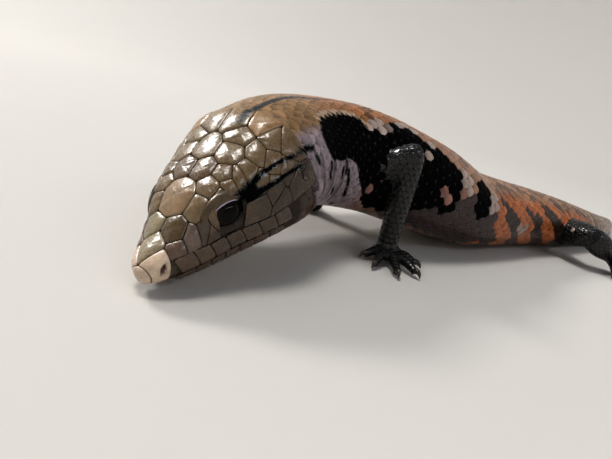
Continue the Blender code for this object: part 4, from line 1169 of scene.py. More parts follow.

# %% [markdown]
# ## The form of one scale
#
# A skink's scale is a smooth, rounded tile. Its root is tucked under the scales before it, its hind
# edge stands a little proud of those behind it. The form is a small grid: the rows get closer
# towards the hind edge, where the bend is sharp, and a skirt closes it below, so that it is a solid
# and not a sheet. All scales share this form and differ in size, place, lift and colour. The form
# also carries painted shade: dark at the covered root, a little darker at the sides, and black on
# the skirt below.

# %% Scale form
EDGE_ROUND, EDGE_POWER = 0.34, 2.2
ROW_CROWDING = 1.7    # above 1 the rows stand closer together near the hind edge
ROOT_LIFT, TIP_LIFT, TIP_POWER = -0.28, 0.62, 0.9
DOME, LIP_DROP = 0.15, 0.09
SKIRT, SKIRT_INSET, SKIRT_SPAN = -0.42, 0.97, (0.02, 0.97)


def scale_form(across, along):
    """Template of a scale: places across and along, lift, painted shade, and its faces."""
    u = np.linspace(-1, 1, across)
    v = 1 - (1 - np.linspace(0, 1, along))**ROW_CROWDING
    uu, vv = np.meshgrid(u, v, indexing="ij")
    edge = 1 - EDGE_ROUND * np.abs(uu)**EDGE_POWER
    lift = ROOT_LIFT + TIP_LIFT * vv**TIP_POWER - DOME * uu**2
    lift[:, -1] -= LIP_DROP
    index = np.arange(across * along).reshape(across, along)
    quads = np.stack([index[:-1, :-1], index[1:, :-1], index[1:, 1:], index[:-1, 1:]], -1).reshape(-1, 4)
    rim = np.concatenate([index[:-1, 0], index[-1, :-1], index[:0:-1, -1], index[0, :0:-1]])
    top = across * along
    lower = top + np.arange(len(rim))
    skirt = np.stack([rim, np.roll(rim, -1), np.roll(lower, -1), lower], -1)[:, ::-1]
    middle = top + len(rim)
    fan = np.stack([lower, np.roll(lower, -1), np.full(len(rim), middle)], -1)[:, ::-1]
    flat_u, flat_v, flat_lift = uu.ravel(), (vv * edge).ravel(), lift.ravel()
    flat_u = np.concatenate([flat_u, flat_u[rim] * SKIRT_INSET, [0.0]])
    flat_v = np.concatenate([flat_v, np.clip(flat_v[rim], *SKIRT_SPAN), [0.4]])
    flat_lift = np.concatenate([flat_lift, np.full(len(rim) + 1, SKIRT)])
    # painted shade: darkest at the covered root, a little darker at the sides, black on the skirt
    shade = np.concatenate([(vv * (1 - 0.25 * np.abs(uu)**3)).ravel(), np.zeros(len(rim) + 1)])
    return dict(u=flat_u, v=flat_v, lift=flat_lift, shade=shade,
                quads=np.concatenate([quads, skirt]), tris=fan)


FINE_FORM = scale_form(9, 8)
SMALL_FORM = scale_form(6, 5)
print("a scale has", len(FINE_FORM["quads"]) * 2 + len(FINE_FORM["tris"]), "triangles")

# %% Scale maker
PATCH = 0.003    # side of the place each scale has on the map
ROOT_WIDTH, ROOT_SHADE = 0.82, 0.40    # breadth and brightness at the root, as shares of the whole; the brightness is painted shade where the scale before covers it
NEAR_LEG = 19
TINT_JITTER = (0.85, 1.15)


def grow(coat, surface, form, along, around, reach, width, tints, thick, area, marked=None):
    """Lay one scale at each place. surface turns (along, around, lift) into points; reach is half
    the length of a scale and width half its breadth, in the surface's own units; area says how
    places map to the unrolled skin."""
    u, v = form["u"], form["v"]
    narrow = ROOT_WIDTH + (1 - ROOT_WIDTH) * np.clip(v / 0.4, 0, 1)
    a = along[:, None] + (v[None] - 0.5) * 2 * reach[:, None]
    b = around[:, None] + u[None] * narrow[None] * width[:, None]
    lift = form["lift"][None] * thick[:, None]
    points = surface(a, b, lift)
    quads, tris = form["quads"], form["tris"]
    first = points[:, quads[len(quads) // 3]]
    facing = np.cross(first[:, 1] - first[:, 0], first[:, 3] - first[:, 0])
    rise = surface(a[:, :1], b[:, :1], lift[:, :1] + 1.0)[:, 0] - points[:, 0]
    if (facing * rise).sum() < 0:
        quads, tris = quads[:, ::-1], tris[:, ::-1]
    count, size = points.shape[:2]
    offset = np.arange(count)[:, None, None] * size
    # painted shade on each point of the scale, taken from its form
    shade = (ROOT_SHADE + (1 - ROOT_SHADE) * ramp(form["shade"], 0.2, 0.8))[None, :, None]
    colour = tints[:, None, :] * shade if marked is None else marked(a, b, tints, shade)
    middle = np.stack([area[0] + area[2] * along, area[1] + area[3] * (around % 1)], -1)
    local = np.stack([v - 0.5, u * 0.5], -1) * PATCH
    maps = middle[:, None, :] + local[None]
    coat.add(points.reshape(-1, 3), (quads[None] + offset).reshape(-1, 4),
             (tris[None] + offset).reshape(-1, 3), colour.reshape(-1, 3), maps.reshape(-1, 2))


def settle(points, normals):
    """Points moved onto the melted skin, with its own smooth normals."""
    flat = points.reshape(-1, 3)
    found, ways = np.empty_like(flat), np.empty_like(flat)
    for i, p in enumerate(flat):
        found[i] = skin_tree.find_nearest(p)[0]
        ways[i] = skin_normals[skin_near.find(p)[1]]
    return found.reshape(points.shape), ways.reshape(points.shape)


def near_leg(points):
    """True for points close to where a leg leaves the body."""
    return np.any([np.linalg.norm(points - leg["crossing"], axis=-1) < NEAR_LEG
                   for leg in LEGS.values()], axis=0)


def body_surface(s, fraction, lift):
    """Points over the trunk; near the legs they follow the melted skin."""
    angle = angle_at(s, fraction)
    base, normal = skin_point(s, angle, -COAT_DEPTH(s))
    close = near_leg(base)
    if close.any():
        base[close], normal[close] = settle(base[close], normal[close])
    return base + normal * lift[..., None]


def neck_colours(s, fraction, tints, shade):
    """Colours of the neck, point by point: the edge of the black patch is finer than a scale."""
    angle = angle_at(s, fraction)
    stripe, dash = fine_marks(s, angle)
    own = np.linalg.norm(tints, axis=-1, keepdims=True)
    head = (s < CHEEK_END)[..., None]
    plain = np.where(head, head_colour(s, angle), body_colour(s, angle, np.zeros(s.shape)))
    mean = np.linalg.norm(plain, axis=-1).mean(1)[:, None] + 1e-6
    jitter = np.clip(own / mean, *TINT_JITTER)[..., None]
    colour = plain * jitter * shade
    return blend_to(blend_to(colour, BLUE_BLACK, stripe), BLACK, dash)


print("scale maker ready")

# %% [markdown]
# ## Rows of scales round the body
#
# The scales stand in rings, each ring shifted by half a scale against the one before it, like
# bricks. There are 30 to 34 round the trunk, more round the neck, where they are small, and ever
# fewer towards the tail tip. A little disorder in place and colour keeps the coat from looking
# stamped.

# %% Coat of neck, trunk and tail
# Distance between rings, and number of scales in a ring, by station
ROW_STEP = smooth_curve([(8, 3.2), (50, 2.5), (80, 2.6), (104, 3.5), (200, 4.0), (300, 4.0), (400, 3.5),
                         (510, 2.4)])
SCALES_ROUND = [(0, 26), (56, 38), (92, 34), (235, 30), (268, 26), (298, 22), (330, 20), (365, 18), (400, 16),
                (432, 14), (458, 12), (482, 10), (497, 8)]
REACH_SHARE, WIDTH_SHARE = 0.98, 0.545
FIRST_ROW = 8.0
# No scale stands over the lip plates, off the skin at the root of a leg, or in the ear
LIP_GAP, LIP_LAST, JAW_CORNER, JAW_CORNER_TOP = 4.6, 46, 42.5, 4
SKIN_GAP, EAR_GAP = 1.5, 2.6
SHIFT_ALONG, SHIFT_ROUND = 0.06, 0.03
HEAD_PIGMENT_END = 54
THICK_ROW, THICK_SPAN, NECK_THICK, NECK_SPAN = 4.4, (0.4, 1.1), 0.72, (88, 104)
FLECK_START, FLECK_SPREAD, FLECK_CHANCE, FLECK_DARK = 92, 50, 0.13, 0.42
BODY_MAP = (0.02, 0.01, 0.96 / BODY_LENGTH, 0.98)
BODY_PIECES = (("scales_neck", 0, 98, "back_rust"), ("scales_front_trunk", 98, 195, "back_rust"),
               ("scales_rear_trunk", 195, 312, "back_rust"), ("scales_tail", 312, 511, "tail_brown"))


def scale_rows():
    """Station, fraction round, step and breadth of every scale, ring by ring."""
    rows, s, number = [], FIRST_ROW, 0
    while s < BODY_LENGTH - 2:
        count = [n for start, n in SCALES_ROUND if start <= s][-1]
        shift = 0.5 * (number % 2)
        rows += [(s, (i + shift) / count, float(ROW_STEP(s)), 1 / count) for i in range(count)]
        s += float(ROW_STEP(s))
        number += 1
    return np.array(rows)


def has_room(s, angle):
    """True for places of the body where a scale may stand."""
    below_lip = section(s, angle)[1] < mouth_line(np.minimum(s, LIP_LAST)) - LIP_GAP
    behind_lip = (s > JAW_CORNER) & (folded_angle(angle) < JAW_CORNER_TOP)
    keep = (s > CHEEK_END) | below_lip | behind_lip
    base = skin_point(s, angle, -COAT_DEPTH(s))[0]
    for i in np.nonzero(near_leg(base) & keep)[0]:
        keep[i] = skin_tree.find_nearest(base[i])[3] <= SKIN_GAP
    for ear in skin_point(np.array(EAR_STATION), np.array([EAR_ANGLE, 180 - EAR_ANGLE]))[0]:
        keep &= np.linalg.norm(base - ear, axis=1) > EAR_GAP
    return keep


def body_coat():
    """The scales of neck, trunk and tail, in four pieces."""
    rows = scale_rows()
    angle = angle_at(rows[:, 0], rows[:, 1])
    keep = has_room(rows[:, 0], angle)
    rows, angle = rows[keep], angle[keep]
    count = len(rows)
    wobble = rng.uniform(-1, 1, count)
    s = rows[:, 0] + rng.uniform(-SHIFT_ALONG, SHIFT_ALONG, count) * rows[:, 2]
    fraction = rows[:, 1] + rng.uniform(-SHIFT_ROUND, SHIFT_ROUND, count) * rows[:, 3]
    tints = np.where((s < HEAD_PIGMENT_END)[:, None], head_colour(s, angle), body_colour(s, angle, wobble))
    thick = np.clip(rows[:, 2] / THICK_ROW, *THICK_SPAN) * rng.uniform(0.9, 1.1, count)
    thick = thick * (NECK_THICK + (1 - NECK_THICK) * ramp(s, *NECK_SPAN))
    upper = (s > FLECK_START) & (np.abs(angle - 90) < FLECK_SPREAD)
    tints[upper & (rng.uniform(0, 1, count) < FLECK_CHANCE)] *= FLECK_DARK
    for name, start, end, slot in BODY_PIECES:
        part = (s >= start) & (s < end)
        coat = Coat()
        grow(coat, body_surface, FINE_FORM, s[part], fraction[part], rows[part, 2] * REACH_SHARE,
             rows[part, 3] * WIDTH_SHARE, tints[part], thick[part], BODY_MAP,
             neck_colours if name == "scales_neck" else None)
        coat.build(name, SCALE_FINISH, JET_FINISH)
    print("scales on the body", count)


body_coat()

# %% [markdown]
# ## Shields of the head
#
# The top of the head has no small scales but large plates with names: frontonasal, frontal,
# parietals and so on, left and right alike. They fit together like paving. Such a layout comes from
# centres alone: each shield is all that lies nearer to its own centre than to any other, and a
# weight makes one grow at its neighbours' cost. The outline is then shrunk to leave the seam, its
# corners are rounded, and the plate is raised with a soft rim and an uneven, domed top.

# %% Shield layout
# Distance over the crown, and weight
MIDDLE_SHIELDS = [("frontonasal", 9.4, 0.6), ("frontal", 24.2, 4.4), ("interparietal", 41.5, 1.0)]
# Distance over the crown, distance down the side, and weight
PAIRED_SHIELDS = [("nasal", 5.6, 5.9, 0), ("postnasal", 10.6, 8.2, 0), ("prefrontal", 14.8, 4.2, 0.5),
                  ("loreal", 15.0, 10.4, 0), ("preocular", 19.6, 13.0, 0),
                  ("first_supraocular", 22.6, 8.2, 1.0), ("second_supraocular", 28.8, 8.8, 1.0),
                  ("third_supraocular", 33.8, 10.8, 0), ("frontoparietal", 34.2, 3.5, 0),
                  ("parietal", 41.2, 8.8, 2.0), ("rear_parietal", 47.4, 8.6, 0), ("nuchal", 53.4, 4.6, 1.5),
                  ("outer_nuchal", 54.0, 12.4, 0), ("first_temporal", 38.6, 16.0, 0),
                  ("second_temporal", 44.6, 15.6, 0), ("third_temporal", 51.2, 17.6, 0),
                  ("fourth_temporal", 46.6, 20.6, 0), ("fifth_temporal", 39.2, 20.8, 0),
                  ("sixth_temporal", 54.0, 22.8, 0), ("cheek", 42.2, 25.4, 0), ("rear_cheek", 49.4, 25.8, 0),
                  ("low_cheek", 36.4, 25.6, 0), ("jowl", 42.6, 31.2, 0), ("rear_jowl", 50.4, 31.6, 0)]
BROW_SHIELDS, BROW_MIDDLE, BROW_LIFT, BROW_SPREAD, BROW_BEND = 5, 27.8, 13.2, 7.7, 1.5
EYE_LIFT, EYE_WEIGHT = 17.8, 2.8    # the eye takes part in the layout, so that shields leave it free
LIP_START, UPPER_LIP_HEIGHT, LIP_EDGE = 8.4, 5.2, 0.2
ROSTRAL_REACH, CROWN_END = 2.9, 58.5
CELL_REACH, CELL_SIGHT = 14, 35    # half the first square of a cell, and how far its neighbours may be
SHIELD_TINTS = {"frontonasal": SNOUT, "frontal": FRONTAL, "nasal": NASAL, "postnasal": (0.11, 0.070, 0.050),
                "prefrontal": DARK_OLIVE, "loreal": (0.12, 0.085, 0.068), "preocular": (0.06, 0.042, 0.028),
                "right_prefrontal": (0.17, 0.14, 0.085), "frontoparietal": (0.10, 0.062, 0.036),
                "outer_nuchal": NAPE, "jowl": SHADED_CHEEK, "rear_jowl": SHADED_CHEEK}


def clip(polygon, point, normal):
    """The part of a convex polygon on the inner side of a line."""
    kept = []
    for a, b in zip(polygon, polygon[1:] + polygon[:1]):
        da = (a[0] - point[0]) * normal[0] + (a[1] - point[1]) * normal[1]
        db = (b[0] - point[0]) * normal[0] + (b[1] - point[1]) * normal[1]
        if da <= 0:
            kept.append(a)
        if (da < 0 < db) or (db < 0 < da):
            t = da / (da - db)
            kept.append((a[0] + (b[0] - a[0]) * t, a[1] + (b[1] - a[1]) * t))
    return kept


def cells(seeds):
    """The cell of each weighted centre among all the others."""
    found = []
    for name, x, y, weight in seeds:
        cell = [(x + across * CELL_REACH, y + up * CELL_REACH)
                for across, up in ((-1, -1), (1, -1), (1, 1), (-1, 1))]
        for other, ox, oy, oweight in seeds:
            if (ox, oy) == (x, y) or math.hypot(ox - x, oy - y) > CELL_SIGHT:
                continue
            dx, dy = ox - x, oy - y
            length = math.hypot(dx, dy)
            part = 0.5 * length + 0.5 * (weight**2 - oweight**2) / length
            normal = (dx / length, dy / length)
            cell = clip(cell, (x + normal[0] * part, y + normal[1] * part), normal)
        found.append((name, x, y, cell))
    return found


def crown_cells():
    """Outlines of the head shields, cut off at the rostral plate, the nape and the lips."""
    seeds = [(name, x, 0.0, weight) for name, x, weight in MIDDLE_SHIELDS]
    for side in (1, -1):
        seeds += [(name, x, side * y, weight) for name, x, y, weight in PAIRED_SHIELDS]
        seeds.append(("eye", BROW_MIDDLE, side * EYE_LIFT, EYE_WEIGHT))
        for i in range(BROW_SHIELDS):
            turn = (i / (BROW_SHIELDS - 1) - 0.5) * 2
            lift = BROW_LIFT + BROW_BEND * turn**2
            seeds.append((f"brow_{i}", BROW_MIDDLE + BROW_SPREAD * turn, side * lift, 0))
    kept = []
    for name, x, y, cell in cells(seeds):
        cell = clip(cell, (ROSTRAL_REACH, 0), (-1, 0))
        cell = clip(cell, (CROWN_END, 0), (1, 0))
        if y != 0:
            side = 1 if y > 0 else -1
            lip = UPPER_LIP_HEIGHT if x > LIP_START else LIP_EDGE
            low, high = lip_distance(x - 3) - lip, lip_distance(x + 3) - lip
            way = np.array([6.0, high - low])
            way /= np.linalg.norm(way)
            cell = clip(cell, (x, side * (low + high) / 2), (-way[1], side * way[0]))
        if len(cell) > 2:
            kept.append((name, x, y, cell))
    return kept


crown = crown_cells()
print("crown shields", len(crown))

# %% Shield maker
SPOKES, CORNER_SHARPNESS, SEAM = 60, 22.0, 0.07
# How far each ring of the rim stands in from the outline, and its height; then shares for the core
RIM_STEPS = ((0.0, -0.5), (0.0, 0.14), (0.05, 0.22), (0.18, 0.30), (0.5, 0.38), (1.1, 0.42))
CORE_STEPS = (0.66, 0.38, 0.16)
RIM_ROOM, DOME_ROOM, LEAST_CORE = 2.5, 3, 0.3    # smaller shields get narrower rims and lower domes
# the foot under each plate is darkened: painted shade
PLATE_FOOT, FOOT_SHADE = -0.9, 0.2
SHIELD_DOME, CHEEK_DOME, LIP_DOME, CROWN_EDGE = 0.36, 0.16, 0.2, 16
RELIEF = 0.055
SEAM_SHADES, FLAT_SEAM = [0.14, 0.35, 0.70, 0.95], 0.5    # flatter plates have paler seams
SHEET_MAP = (0.03, 0.5, 0.94 / CROWN_END, 0.94 / 100)
# Hollows: distance over and down the sheet, two reaches, depth and colour: the nostril's dark red, and
# painted shade in the ear opening
HOLLOWS = {"nasal": (5.9, 6.6, 1.05, 0.75, 1.4, NOSTRIL_RED), "rear_jowl": (53.5, 31.5, 1.1, 1.9, 1.5, UMBER)}
SHIELD_JITTER = 0.09


def reach_of(cell, middle):
    """Distance from the middle of a convex cell to its rounded outline, at even directions."""
    turn = np.arange(SPOKES) * 2 * math.pi / SPOKES
    total = np.zeros(SPOKES)
    for a, b in zip(cell, cell[1:] + cell[:1]):
        edge = np.array(b) - np.array(a)
        length = np.linalg.norm(edge)
        if length < 0.05:
            continue
        normal = np.array([edge[1], -edge[0]]) / length
        away = (np.array(a) - middle) @ normal
        if away < 0:
            normal, away = -normal, -away
        facing = np.cos(turn) * normal[0] + np.sin(turn) * normal[1]
        total += np.maximum(facing / max(away - SEAM / 2, 0.2), 0)**CORNER_SHARPNESS
    return turn, total**(-1 / CORNER_SHARPNESS)


def unevenness(x, y):
    """A few crossing waves, so that no plate is as smooth as glass."""
    a, b, c, d = rng.uniform(0, 6.28, 4)
    return (np.sin(1.3 * x + a) * np.sin(1.1 * y + b) + 0.6 * np.sin(2.3 * x - 1.5 * y + c)
            + 0.35 * np.sin(3.7 * x + 2.9 * y + d))


def shield(coat, cell, colour_of, dome, hollow=None):
    """A domed plate over a convex outline on the sheet of the head."""
    middle = np.mean(np.array(cell), axis=0)
    turn, reach = reach_of(cell, middle)
    core = max(reach.min(), 1.0)
    radius = [np.maximum(reach - inset * min(1.0, core / RIM_ROOM), LEAST_CORE * reach)
              for inset, h in RIM_STEPS]
    radius = np.array(radius + [radius[-1] * share for share in CORE_STEPS])
    heights = [h for inset, h in RIM_STEPS] + [RIM_STEPS[-1][1]] * len(CORE_STEPS)
    x = np.append(middle[0] + radius * np.cos(turn), middle[0])
    y = np.append(middle[1] + radius * np.sin(turn), middle[1])
    inner = np.append(1 - (radius / reach)**2, 1.0)
    lift = np.append(np.repeat(heights, SPOKES), heights[-1]) + dome * min(1.0, core / DOME_ROOM) * inner
    lift = lift + RELIEF * unevenness(x, y) * np.clip(inner * 3, 0, 1)
    s, angle = sheet_to_skin(x, y)
    colour = colour_of(s, angle)
    if hollow is not None:
        over, aside, long, wide, deep, tint = hollow
        away = np.hypot((x - over) / long, (np.abs(y) - aside) / wide)
        lift = lift - deep * ramp(away, 1.0, 0.35)
        # a hollow takes its colour: dark red in the nostril, painted shade in the ear
        colour = blend_to(colour, tint, ramp(away, 1.1, 0.7))
    foot = skin_point(s[-1:], angle[-1:], np.array([PLATE_FOOT]))[0]
    points = np.concatenate([skin_point(s, angle, lift)[0], foot])
    seam = np.append(np.repeat(SEAM_SHADES + [1.0] * (len(radius) - len(SEAM_SHADES)), SPOKES), 1.0)
    if dome < SHIELD_DOME:
        seam = seam**FLAT_SEAM
    # the foot point under the plate takes painted shade
    colour = np.concatenate([colour * seam[:, None], colour[-1:] * FOOT_SHADE])
    maps = np.stack([SHEET_MAP[0] + SHEET_MAP[2] * x, SHEET_MAP[1] + SHEET_MAP[3] * y], -1)
    coat.add(points, *ring_faces(points, SPOKES), colour, np.concatenate([maps, maps[-1:]]))


def shield_colour(name, jitter):
    """Colours of a named shield: its own tint, with the head's markings over it."""
    own = SHIELD_TINTS.get(name)

    def colour_of(s, angle):
        colour = head_colour(s, angle)
        if own is not None:
            plain = np.linalg.norm(colour - BLACK, axis=-1) > 0.05
            colour = np.where(plain[..., None], np.asarray(own), colour)
        return colour * (1 + jitter)
    return colour_of


def build_crown():
    """All shields of the crown and cheeks as one piece."""
    coat = Coat()
    for name, x, y, cell in crown:
        if name == "eye":
            continue
        hollow = HOLLOWS.get(name)
        if y < 0 and "right_" + name in SHIELD_TINTS:
            name = "right_" + name
        colour_of = shield_colour(name, rng.uniform(-SHIELD_JITTER, SHIELD_JITTER))
        shield(coat, cell, colour_of, SHIELD_DOME if abs(y) < CROWN_EDGE else CHEEK_DOME, hollow)
    coat.build("head_shields", SHIELD_FINISH, JET_FINISH)


build_crown()

# %% [markdown]
# ## Lips and snout
#
# Along the mouth stands a row of upright plates above and below. They leave a dark line between
# them, which is all that shows of a closed mouth. The tip of the snout has one cap, the rostral
# plate. Under the jaw the small scales of the neck run on.

# %% Lip plates
# the upper lip plates are darker than their own colour: painted shade, as on the cheek
SHADED_UPPER_LIP = (0.064, 0.040, 0.024)
LIP_PLATES, LIP_JITTER = 7, 0.1
# Hind end, nearest and farthest distance from the mouth, lean, colour (the upper lip's holds painted shade)
# and the foremost two's light
LIP_ROWS = ((44.5, -UPPER_LIP_HEIGHT, -LIP_EDGE, 1.2, SHADED_UPPER_LIP, 1.35),
            (42.5, LIP_EDGE, 4.2, 1.0, JAW, 1.0))


def build_lips():
    """The plates above and below the mouth, on both sides."""
    coat = Coat()
    for last, near, far, lean, tint, light in LIP_ROWS:
        edges = np.linspace(LIP_START, last, LIP_PLATES + 1)
        for side in (1, -1):
            for i, (a, b) in enumerate(zip(edges, edges[1:])):
                corners = [(a, near), (b, near), (b + lean, far), (a + lean, far)]
                cell = [(x, side * (lip_distance(x) + y)) for x, y in corners]
                own = np.array(tint) * (light if i < 2 else 1.0) * (1 + rng.uniform(-LIP_JITTER, LIP_JITTER))
                shield(coat, cell, lambda s, angle: np.zeros(s.shape + (3,)) + own, LIP_DOME)
    coat.build("lip_shields", SHIELD_FINISH)


build_lips()

# %% Snout cap
# Distance from the tip, height and shade of each ring
ROSTRAL_LEVELS = ((2.85, -0.5, 0.3), (2.83, 0.1, 0.45), (2.75, 0.22, 0.8), (2.6, 0.32, 1), (2.3, 0.42, 1),
                  (1.8, 0.5, 1), (1.2, 0.55, 1), (0.6, 0.56, 1))
ROSTRAL_SPOKES, ROSTRAL_TIP, ROSTRAL_BACK = 48, 0.56, 4.0


def build_rostral():
    """The plate over the tip of the snout."""
    coat = Coat()
    angle = np.arange(ROSTRAL_SPOKES) * 360.0 / ROSTRAL_SPOKES + 90
    points = []
    for over, lift, shade in ROSTRAL_LEVELS:
        s = np.full(ROSTRAL_SPOKES, np.interp(over, CROWN[1], CROWN[0]))
        points.append(skin_point(s, angle, np.full(ROSTRAL_SPOKES, lift))[0])
    snout = np.array(0.0)
    tip = along_spine(SPINE_CENTRE, snout) + along_spine(SPINE_FORWARD, snout) * ROSTRAL_TIP
    points = np.concatenate(points + [tip[None], along_spine(SPINE_CENTRE, np.array([ROSTRAL_BACK]))])
    # the back point under the cap is darkened: painted shade
    shade = np.append(np.repeat([shade for over, lift, shade in ROSTRAL_LEVELS], ROSTRAL_SPOKES), [1, 0.3])
    around = np.arange(len(points)) * 2 * math.pi / ROSTRAL_SPOKES
    spread = np.append(np.repeat(np.linspace(1, 0.1, len(ROSTRAL_LEVELS)), ROSTRAL_SPOKES), [0, 0])
    maps = 0.5 + 0.45 * spread[:, None] * np.stack([np.cos(around), np.sin(around)], -1)
    coat.add(points, *ring_faces(points, ROSTRAL_SPOKES), np.asarray(NASAL) * shade[:, None], maps)
    coat.build("rostral_shield", SHIELD_FINISH)


build_rostral()

# %% [markdown]
# ## Eyes and lids
#
# The eye is a dark, wet ball that shows little of its iris, so its shape is told by what it
# mirrors. A skink has real lids: a thick rim above, a softer one below, each edged with tiny beads.
# The lids are a ring swept round an almond, its height waving to give the beads.

# %% Eyes
EYE_ROWS, EYE_SPOKES, EYE_SPAN = 40, 64, (0.01, 0.62)
EYE_MARGIN, CORNEA, EYE_BACK = 0.05, 0.35, 1.0
PUPIL_TINT, IRIS_TINT, IRIS_RAYS = (0.003, 0.0025, 0.0025), (0.010, 0.006, 0.004), 24


def build_eye(side, name):
    """The visible part of an eyeball, with a cornea, a faint iris and a pupil."""
    centre, out, along, above = eye_frame(side)
    coat = Coat()
    turn = np.linspace(*EYE_SPAN, EYE_ROWS) * math.pi
    around = np.arange(EYE_SPOKES) * 2 * math.pi / EYE_SPOKES
    circle = np.stack([np.cos(around), np.sin(around)], -1)
    radius = EYE_RADIUS - EYE_MARGIN
    bulge = radius + CORNEA * ramp(turn, 0.8, 0.2)
    ahead, aside = (np.cos(turn) * bulge)[:, None, None], (np.sin(turn) * bulge)[:, None, None]
    points = centre + ahead * out + aside * (circle @ [along * EYE_LONG, above * EYE_TALL])
    ends = [centre - out * EYE_BACK, centre + out * (radius + CORNEA)]
    points = np.concatenate([points.reshape(-1, 3), ends])
    wide = np.repeat(turn, EYE_SPOKES)
    rays = 0.7 + 0.3 * np.tile(np.cos(IRIS_RAYS * around), EYE_ROWS)
    colour = np.zeros((len(wide), 3)) + PUPIL_TINT
    colour = blend_to(colour, IRIS_TINT, ramp(wide, 0.36, 0.42) * ramp(wide, 0.80, 0.72) * rays)
    colour = np.concatenate([colour, colour[[-1, 0]]])
    maps = 0.5 + 0.48 * (turn / turn[-1])[:, None, None] * circle
    maps = np.concatenate([maps.reshape(-1, 2), np.full((2, 2), 0.5)])
    coat.add(points, *ring_faces(points, EYE_SPOKES), colour, maps)
    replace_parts(coat.build("ball_of_" + name, EYE_FINISH), name)


build_eye(1, "eye_left")
build_eye(-1, "eye_right")

# %% Lids
# Step outwards from the opening, height, share of the skin against the ball, and painted shade of each ring,
# darkest where the lid meets ball and skin and in the crease between
LID_PROFILE = [(-0.30, -0.9, 0.0, 0.5), (0.0, 0.10, 0.0, 1.0), (0.2, 0.26, 0.1, 1.0), (0.4, 0.28, 0.25, 0.9),
               (0.62, 0.20, 0.45, 0.7), (0.9, 0.30, 0.6, 0.9), (1.4, 0.30, 0.85, 0.8), (2.0, 0.26, 1.0, 0.9),
               (2.7, 0.16, 1.0, 0.8), (3.3, -0.4, 1.0, 0.5)]
LID_SPOKES, LID_OPEN, UPPER_OPEN, LOWER_OPEN = 120, 4.9, 2.9, 3.1
# the upper rim is pale and carries a painted highlight, lilac white; the lower rim is near black
UPPER_RIM_AND_HIGHLIGHT, LOWER_RIM, RIM_REACH = (0.46, 0.42, 0.55), (0.016, 0.012, 0.010), 0.35
UPPER_LID, LOWER_LID = np.array(OLIVE) * 0.85, np.array(SHADED_CHEEK) * 0.6
BEADS, BEAD_HIGH, BEAD_SPAN = 17, 0.07, (0.1, 1.0)
LEAST_BALL = 4.4    # keeps the root of the ball's height real beyond its edge


def build_lids():
    """A beaded ring round each eye, from the ball out to the skin."""
    coat = Coat()
    t = np.arange(LID_SPOKES) * 2 * math.pi / LID_SPOKES
    beads = BEAD_HIGH * np.abs(np.sin(BEADS * t))
    for side in (1, -1):
        centre, out, along, above = eye_frame(side)
        height = np.where(np.sin(t) > 0, UPPER_OPEN, LOWER_OPEN)
        spread = np.cos(t)[:, None] * along * LID_OPEN + (np.sin(t) * height)[:, None] * above
        reach = np.linalg.norm(spread, axis=1)
        away = spread / reach[:, None]
        points, tints = [], []
        for step, rise, share, shade in LID_PROFILE:
            aside = (reach + step) * np.hypot(away @ along / EYE_LONG, away @ above / EYE_TALL)
            ball = np.sqrt(np.maximum(EYE_RADIUS**2 - aside**2, LEAST_BALL))
            level = ball * (1 - share) + (EYE_SUNK + 0.15) * share + rise
            if between(step, *BEAD_SPAN):
                level = level + beads
            points.append(centre + spread + away * step + out * level[:, None])
            low, high = (LOWER_RIM, UPPER_RIM_AND_HIGHLIGHT) if step < RIM_REACH else (LOWER_LID, UPPER_LID)
            tint = blend_to(np.zeros((LID_SPOKES, 3)) + low, high, ramp(np.sin(t), 0.0, 0.45))
            tints.append(blend_to(tint, BLACK, ramp(-np.cos(t), 0.6, 0.85)) * shade)
        points = np.concatenate(points)
        rows = np.linspace(0.05, 0.45, len(LID_PROFILE)) + (0.5 if side > 0 else 0)
        maps = np.stack([np.tile(t / 7 + 0.05, len(LID_PROFILE)), np.repeat(rows, LID_SPOKES)], -1)
        coat.add(points, *ring_faces(points, LID_SPOKES, looped=True), np.concatenate(tints), maps)
    coat.build("eyelids", SCALE_FINISH, JET_FINISH)


build_lids()

# %% [markdown]
# ## Scales of the legs
#
# The legs are black and very glossy, with scales half as large as on the trunk, overlapping towards
# the toes. The digits are wrapped in single broad scales above and narrow pads below, which is why
# they look ringed.

# %% Coat of the legs
LEG_ROW, LEG_BREADTH, LOWER_SHARES = 2.4, 2.9, (0.93, 0.9)
LEG_FIRST, LEG_LAST = 0.48, 0.99    # shares of the upper leg between which it has scales
UPPER_THICK, LOWER_THICK, DIGIT_SCALE_THICK, DIGIT_SHARE = 0.72, 0.66, 0.62, 0.8
LEG_GAP, PALE_CHANCE, PALE_TINT, LEG_JITTER = 0.9, 0.02, np.array(BLOTCH) * 0.8, 0.3
# Row step, fraction round, half breadth, first place and tint of the scales and pads of a digit
DIGIT_ROWS = ((1.75, 0.25, 0.31, 1.2, 1.0), (1.3, 0.75, 0.2, 0.8, 2.5))


def tube_surface(tube, clings):
    """A surface for the scale maker over a tube; near the body it follows the melted skin."""
    def surface(along, fraction, lift):
        base, out = tube_point(tube, along, fraction, np.full(np.shape(along), -LEG_DEPTH))
        if clings:
            base, out = settle(base, out)
        return base + out * lift[..., None]
    return surface


def tube_rows(tube, start, end, row, breadth):
    """Places of scales on a tube, ring by ring."""
    places, d, number = [], start, 0
    while d < end:
        girth = 2 * math.pi * float(np.interp(d, tube["distance"], tube["radii"]))
        count = max(6, int(round(girth / breadth)))
        for i in range(count):
            places.append((d, (i + 0.5 * (number % 2)) / count, 1 / count))
        d += row
        number += 1
    return np.array(places)


